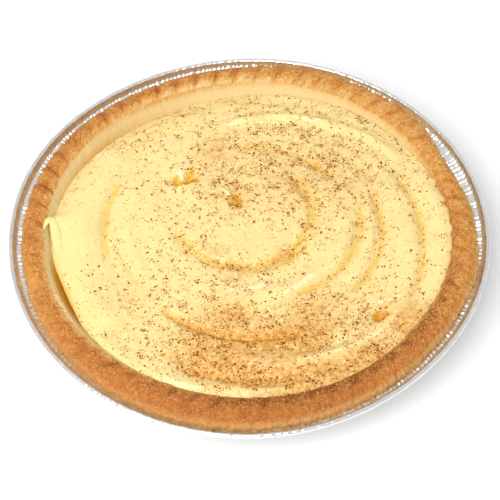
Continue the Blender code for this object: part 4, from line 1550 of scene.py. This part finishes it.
@dataclass
class Cinnamon:
    """The ground cinnamon on the custard: fine grains, and the largest flecks of the solid."""

    shape: TartShape
    custard: CustardFilling
    size_spread: float = 0.44
    largest: float = 0.66 * MM
    darkening: float = 0.42
    solid_gap: float = 0.45 * MM
    batch: int = 4000
    margin: float = 0.8 * MM
    everywhere: float = 0.3
    patch: float = 4.5 * MM
    patchiness: float = 1.5
    thinnest: float = 0.12
    drifted: tuple[Drift, ...] = (
        (55.0, 52.0, 30.0, 0.48), (105.0, 26.0, 15.0, 0.45), (262.0, 68.0, 26.0, 0.75),
        (300.0, 68.0, 20.0, 0.7), (310.0, 89.0, 11.0, 1.1), (287.0, 90.0, 7.0, 0.8),
        (262.0, 89.0, 12.0, 0.5), (255.0, 26.0, 9.0, 0.3), (180.0, 80.0, 26.0, -0.3),
        (280.0, 7.0, 13.0, -0.34), (308.0, 41.0, 9.0, -0.3), (78.0, 88.0, 12.0, -0.2),
        (330.0, 50.0, 9.0, -0.2),
    )
    flecks: int = 36
    fleck_spacing: float = 8.0 * MM
    fleck_seed: int = 11
    fleck_dust: tuple[Drift, ...] = (
        (45.0, 50.0, 26.0, 1.0), (95.0, 34.0, 20.0, 0.7), (275.0, 66.0, 22.0, 1.0),
        (310.0, 72.0, 20.0, 1.0), (0.0, 60.0, 30.0, 0.4), (230.0, 66.0, 22.0, 0.5),
    )
    fleck_dust_everywhere: float = 0.08
    fleck_margin: float = 9.0 * MM
    fleck_grains: tuple[int, int] = (3, 6)
    fleck_reach: float = 0.55 * MM
    fleck_lengths: tuple[float, float] = (0.36, 0.7)
    fleck_shape: tuple[float, float, float] = (1.0, 0.62, 0.5)

    def scatter(self, powder: Powder, rng: np.random.Generator) -> tuple[Array, Array]:
        """Draw places where the powder lies, in clumps.

        Args:
            powder: the kind of grains.
            rng: the draw.

        Returns:
            Their radii and angles.
        """
        clumps = np.array([clump[1:] for clump in powder.clumps])
        chances = [clump[0] for clump in powder.clumps]
        spots = np.empty((0, 2))
        while len(spots) < powder.count:
            angle = rng.uniform(0.0, 360.0, self.batch)
            radius = (self.custard.edge_radius(angle) - self.margin) * np.sqrt(rng.random(self.batch))
            spot = spot_at(radius, angle, 0.0)
            share = self.everywhere + drifts(radius, angle, self.drifted)
            patchy = 0.8 + self.patchiness * noise_at(spot, self.patch, octaves=2, seed=0.0)
            share = share * np.maximum(self.thinnest, patchy)
            share = share * self.custard.caught(self.custard.relief(radius, angle))
            spot = spot[rng.random(self.batch) < share]
            fewest, most, spread = clumps[rng.choice(len(clumps), len(spot), p=chances)].T
            members = rng.integers(fewest.astype(int), most.astype(int) + 1)
            away = rng.normal(0.0, 1.0, (members.sum(), 2)) * np.repeat(spread, members)[:, None]
            spots = np.concatenate([spots, np.repeat(spot[:, :2], members, axis=0) + away])
        x, y = spots[: powder.count].T
        angle = np.degrees(np.arctan2(y, x)) % 360.0
        return np.minimum(np.hypot(x, y), self.custard.edge_radius(angle) - self.margin), angle

    def build_powder(self, powder: Powder, material: bpy.types.Material) -> None:
        """Make the loose grains of one kind."""
        pile = GrainPile(powder.name, powder.seed)
        radius, angle = self.scatter(powder, pile.rng)
        length = powder.size * np.exp(pile.rng.normal(0.0, self.size_spread, powder.count))
        length = np.minimum(length, self.largest)
        width = length * pile.rng.uniform(0.65, 1.0, powder.count)
        thick = length * pile.rng.uniform(0.2, 0.38, powder.count)
        height = self.custard.height(radius, angle) + 0.35 * thick
        spots = self.shape.place(radius, angle, height)
        sizes = np.stack([length, width, thick], axis=-1)
        facing = np.tile([0.0, 0.0, 1.0], (powder.count, 1))
        settle(pile.build(spots, sizes, facing, material, self.darkening))

    def fleck_places(self, rng: random.Random) -> list[tuple[float, float]]:
        """Draw the solid's largest flecks again: their radii and angles."""
        solid = CustardFilling(self.shape, gap=self.solid_gap, packed=True)
        spots: list[Array] = []
        places: list[tuple[float, float]] = []
        while len(places) < self.flecks:
            angle = rng.uniform(0.0, 360.0)
            radius = (self.shape.lip - self.fleck_margin) * math.sqrt(rng.random())
            share = float(drifts(np.array(radius), np.array(angle), self.fleck_dust))
            wanted = rng.random() < min(share + self.fleck_dust_everywhere, 1.0)
            height = solid.plain_height(np.array(radius), np.array(angle))
            spot = self.shape.place(radius, angle, height)
            if wanted and all(np.linalg.norm(spot - other) > self.fleck_spacing for other in spots):
                spots.append(spot)
                places.append((radius, angle))
        return places

    def build_flecks(self, material: bpy.types.Material) -> None:
        """Make each of the solid's flecks as a clump of coarse grains."""
        rng = random.Random(self.fleck_seed)
        pile = GrainPile("cinnamon_flecks", 29)
        radii: list[float] = []
        angles: list[float] = []
        sizes: list[tuple[float, float, float]] = []
        for radius, angle in self.fleck_places(rng):
            turn = math.radians(angle)
            for number in range(int(pile.rng.integers(*self.fleck_grains))):
                reach = self.fleck_reach if number else 0.0
                x = radius * math.cos(turn) + pile.rng.normal(0.0, 1.0) * reach
                y = radius * math.sin(turn) + pile.rng.normal(0.0, 1.0) * reach
                length = pile.rng.uniform(*self.fleck_lengths) * MM
                radii.append(math.hypot(x, y))
                angles.append(math.degrees(math.atan2(y, x)) % 360.0)
                sizes.append(tuple(length * share for share in self.fleck_shape))
        radius, angle, size = np.array(radii), np.array(angles), np.array(sizes)
        height = self.custard.height(radius, angle) + 0.3 * size[:, 2]
        facing = np.tile([0.0, 0.0, 1.0], (len(radius), 1))
        settle(pile.build(self.shape.place(radius, angle, height), size, facing, material))


@dataclass
class CrustLitter:
    """What lies loose on the crust: its own crumbs, and cinnamon on the near right."""

    case: PastryCase
    crumbs: int = 1800
    crumb_lengths: tuple[float, float] = (0.2, 0.52)
    powder: int = 3600
    powder_size: float = 0.17 * MM
    powder_spread: float = 0.4
    largest_powder: float = 0.45 * MM
    least_upright: float = 0.1

    def pick(self, count: int, weights: Array, rng: np.random.Generator) -> tuple[Array, Array]:
        """Draw places on the crust by weight.

        Args:
            count: how many.
            weights: how likely each of the crust's points is.
            rng: the draw.

        Returns:
            The places and the crust's outward directions there.
        """
        chance = weights.ravel() / weights.sum()
        chosen = rng.choice(chance.size, size=count, replace=False, p=chance)
        points = self.case.top.reshape(-1, 3)[chosen]
        facing = self.case.facing.reshape(-1, 3)[chosen]
        return points + rng.uniform(-0.2, 0.2, points.shape) * MM, facing

    def build_crumbs(self, material: bpy.types.Material) -> None:
        """Make the crust's own crumbs, most of them along its outer edge."""
        pile = GrainPile("crust_crumbs", 37)
        weights = self.case.masks["brown"].clip(0.0, 1.0) * 0.25 + self.case.masks["edge"]
        weights = weights + 0.8 * self.case.masks["powder"]
        weights = weights * (self.case.facing[..., 2] > self.least_upright)
        spots, facing = self.pick(self.crumbs, weights, pile.rng)
        length = pile.rng.uniform(*self.crumb_lengths, self.crumbs) * MM
        width = length * pile.rng.uniform(0.6, 1.0, self.crumbs)
        sizes = np.stack([length, width, length * 0.7], axis=-1)
        settle(pile.build(spots, sizes, facing, material))

    def build_powder(self, material: bpy.types.Material) -> None:
        """Make the cinnamon on the crust."""
        pile = GrainPile("cinnamon_on_crust", 41)
        weights = self.case.masks["powder"] ** 2 + 0.004 * (self.case.masks["brown"] > 0.3)
        weights = weights * (self.case.facing[..., 2] > self.least_upright)
        spots, facing = self.pick(self.powder, weights, pile.rng)
        length = self.powder_size * np.exp(pile.rng.normal(0.0, self.powder_spread, self.powder))
        length = np.minimum(length, self.largest_powder)
        sizes = np.stack([length, length * 0.7, length * 0.45], axis=-1)
        settle(pile.build(spots + facing * 0.04 * MM, sizes, facing, material))


@dataclass
class Studio:
    """The pale floor, the soft lights and the camera."""

    aim: tuple[float, float, float] = (0.000501, -0.012578, 0.0272)
    distance: float = 0.666
    elevation: float = math.radians(52.035865)
    roll: float = math.radians(-1.396564)
    lens: float = 104.866
    surround: float = 0.68
    floor_size: float = 6.0
    floor_colour: tuple[float, float, float, float] = (0.93, 0.93, 0.93, 1.0)

    def build_floor(self) -> None:
        """Lay a plain white floor under the dish."""
        half = self.floor_size / 2
        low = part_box(Node.DISH.value)[0].z
        corners = [(-half, -half, low), (half, -half, low), (half, half, low), (-half, half, low)]
        mesh = bpy.data.meshes.new("floor")
        mesh.from_pydata(corners, [], [(0, 1, 2, 3)])
        matt = {"Base Color": self.floor_colour, "Roughness": 0.9, "Specular IOR Level": 0.2}
        floor = make_piece("floor", mesh, Look("plain_floor").finish(matt))

    def add_light(
        self, name: str, azimuth: float, height: float, distance: float, size: float, power: float
    ) -> None:
        """Hang a square soft light that faces the tart.

        Args:
            name: the light's name.
            azimuth: where it hangs, in degrees counterclockwise from +X.
            height: its elevation in degrees.
            distance: how far it is.
            size: the length of its side.
            power: its power in watts.
        """
        light = bpy.data.lights.new(name, "AREA")
        light.size = size
        light.energy = power
        lamp = bpy.data.objects.new(name, light)
        bpy.context.scene.collection.objects.link(lamp)
        way = math.radians(azimuth)
        climb = math.radians(height)
        lamp.location = Vector(
            (math.cos(way) * math.cos(climb), math.sin(way) * math.cos(climb), math.sin(climb))
        ) * distance
        lamp.rotation_euler = (-lamp.location).to_track_quat("-Z", "Y").to_euler()

    def build_lights(self) -> None:
        """Light the tart from in front and above, with an even pale surround."""
        self.add_light("key", azimuth=240.0, height=55.0, distance=1.1, size=0.7, power=10.4)
        world = bpy.data.worlds.new("surround")
        world.use_nodes = True
        white = {"Color": (1.0, 1.0, 1.0, 1.0), "Strength": self.surround}
        Sketch(world.node_tree).feed(world.node_tree.nodes["Background"], white)
        bpy.context.scene.world = world
        bpy.context.scene.view_settings.view_transform = "Standard"

    def build_camera(self) -> None:
        """Look down on the tart from in front."""
        camera = bpy.data.cameras.new("camera")
        camera.lens = self.lens
        camera.clip_start = 0.05
        camera.clip_end = 20.0
        item = bpy.data.objects.new("camera", camera)
        bpy.context.scene.collection.objects.link(item)
        back = Vector((0.0, -math.cos(self.elevation), math.sin(self.elevation)))
        item.matrix_world = (
            Matrix.Translation(Vector(self.aim) + back * self.distance)
            @ Matrix.Rotation(math.pi / 2 - self.elevation, 4, "X")
            @ Matrix.Rotation(self.roll, 4, "Z")
        )
        bpy.context.scene.camera = item


def main() -> None:
    """Build the studio and the tart, piece by piece."""
    logging.basicConfig(level=logging.INFO, format="%(name)s %(message)s")
    studio = Studio()
    studio.build_floor()
    studio.build_lights()
    studio.build_camera()
    effects = Effects()
    shape = TartShape()
    FoilDish(shape).build(FoilFinish().material(effects))
    case = PastryCase(shape)
    case.build(CrustFinish().material(effects))
    custard = CustardFilling(shape)
    custard_look = CustardFinish().material(effects)
    custard.build(custard_look)
    CustardTail(shape).build(custard_look)
    spice = GrainFinish("ground_cinnamon", linear(236, 152, 12), linear(146, 66, 4))
    spice_look = spice.material(effects)
    cinnamon = Cinnamon(shape, custard)
    for powder in POWDERS:
        cinnamon.build_powder(powder, spice_look)
    cinnamon.build_flecks(spice_look)
    litter = CrustLitter(case)
    crumb = GrainFinish("loose_crumb", linear(226, 172, 104), linear(190, 126, 62))
    litter.build_crumbs(crumb.material(effects))
    crust_spice = GrainFinish("cinnamon_on_pastry", linear(196, 122, 52), linear(86, 42, 14))
    litter.build_powder(crust_spice.material(effects))


if __name__ == "__main__":
    main()
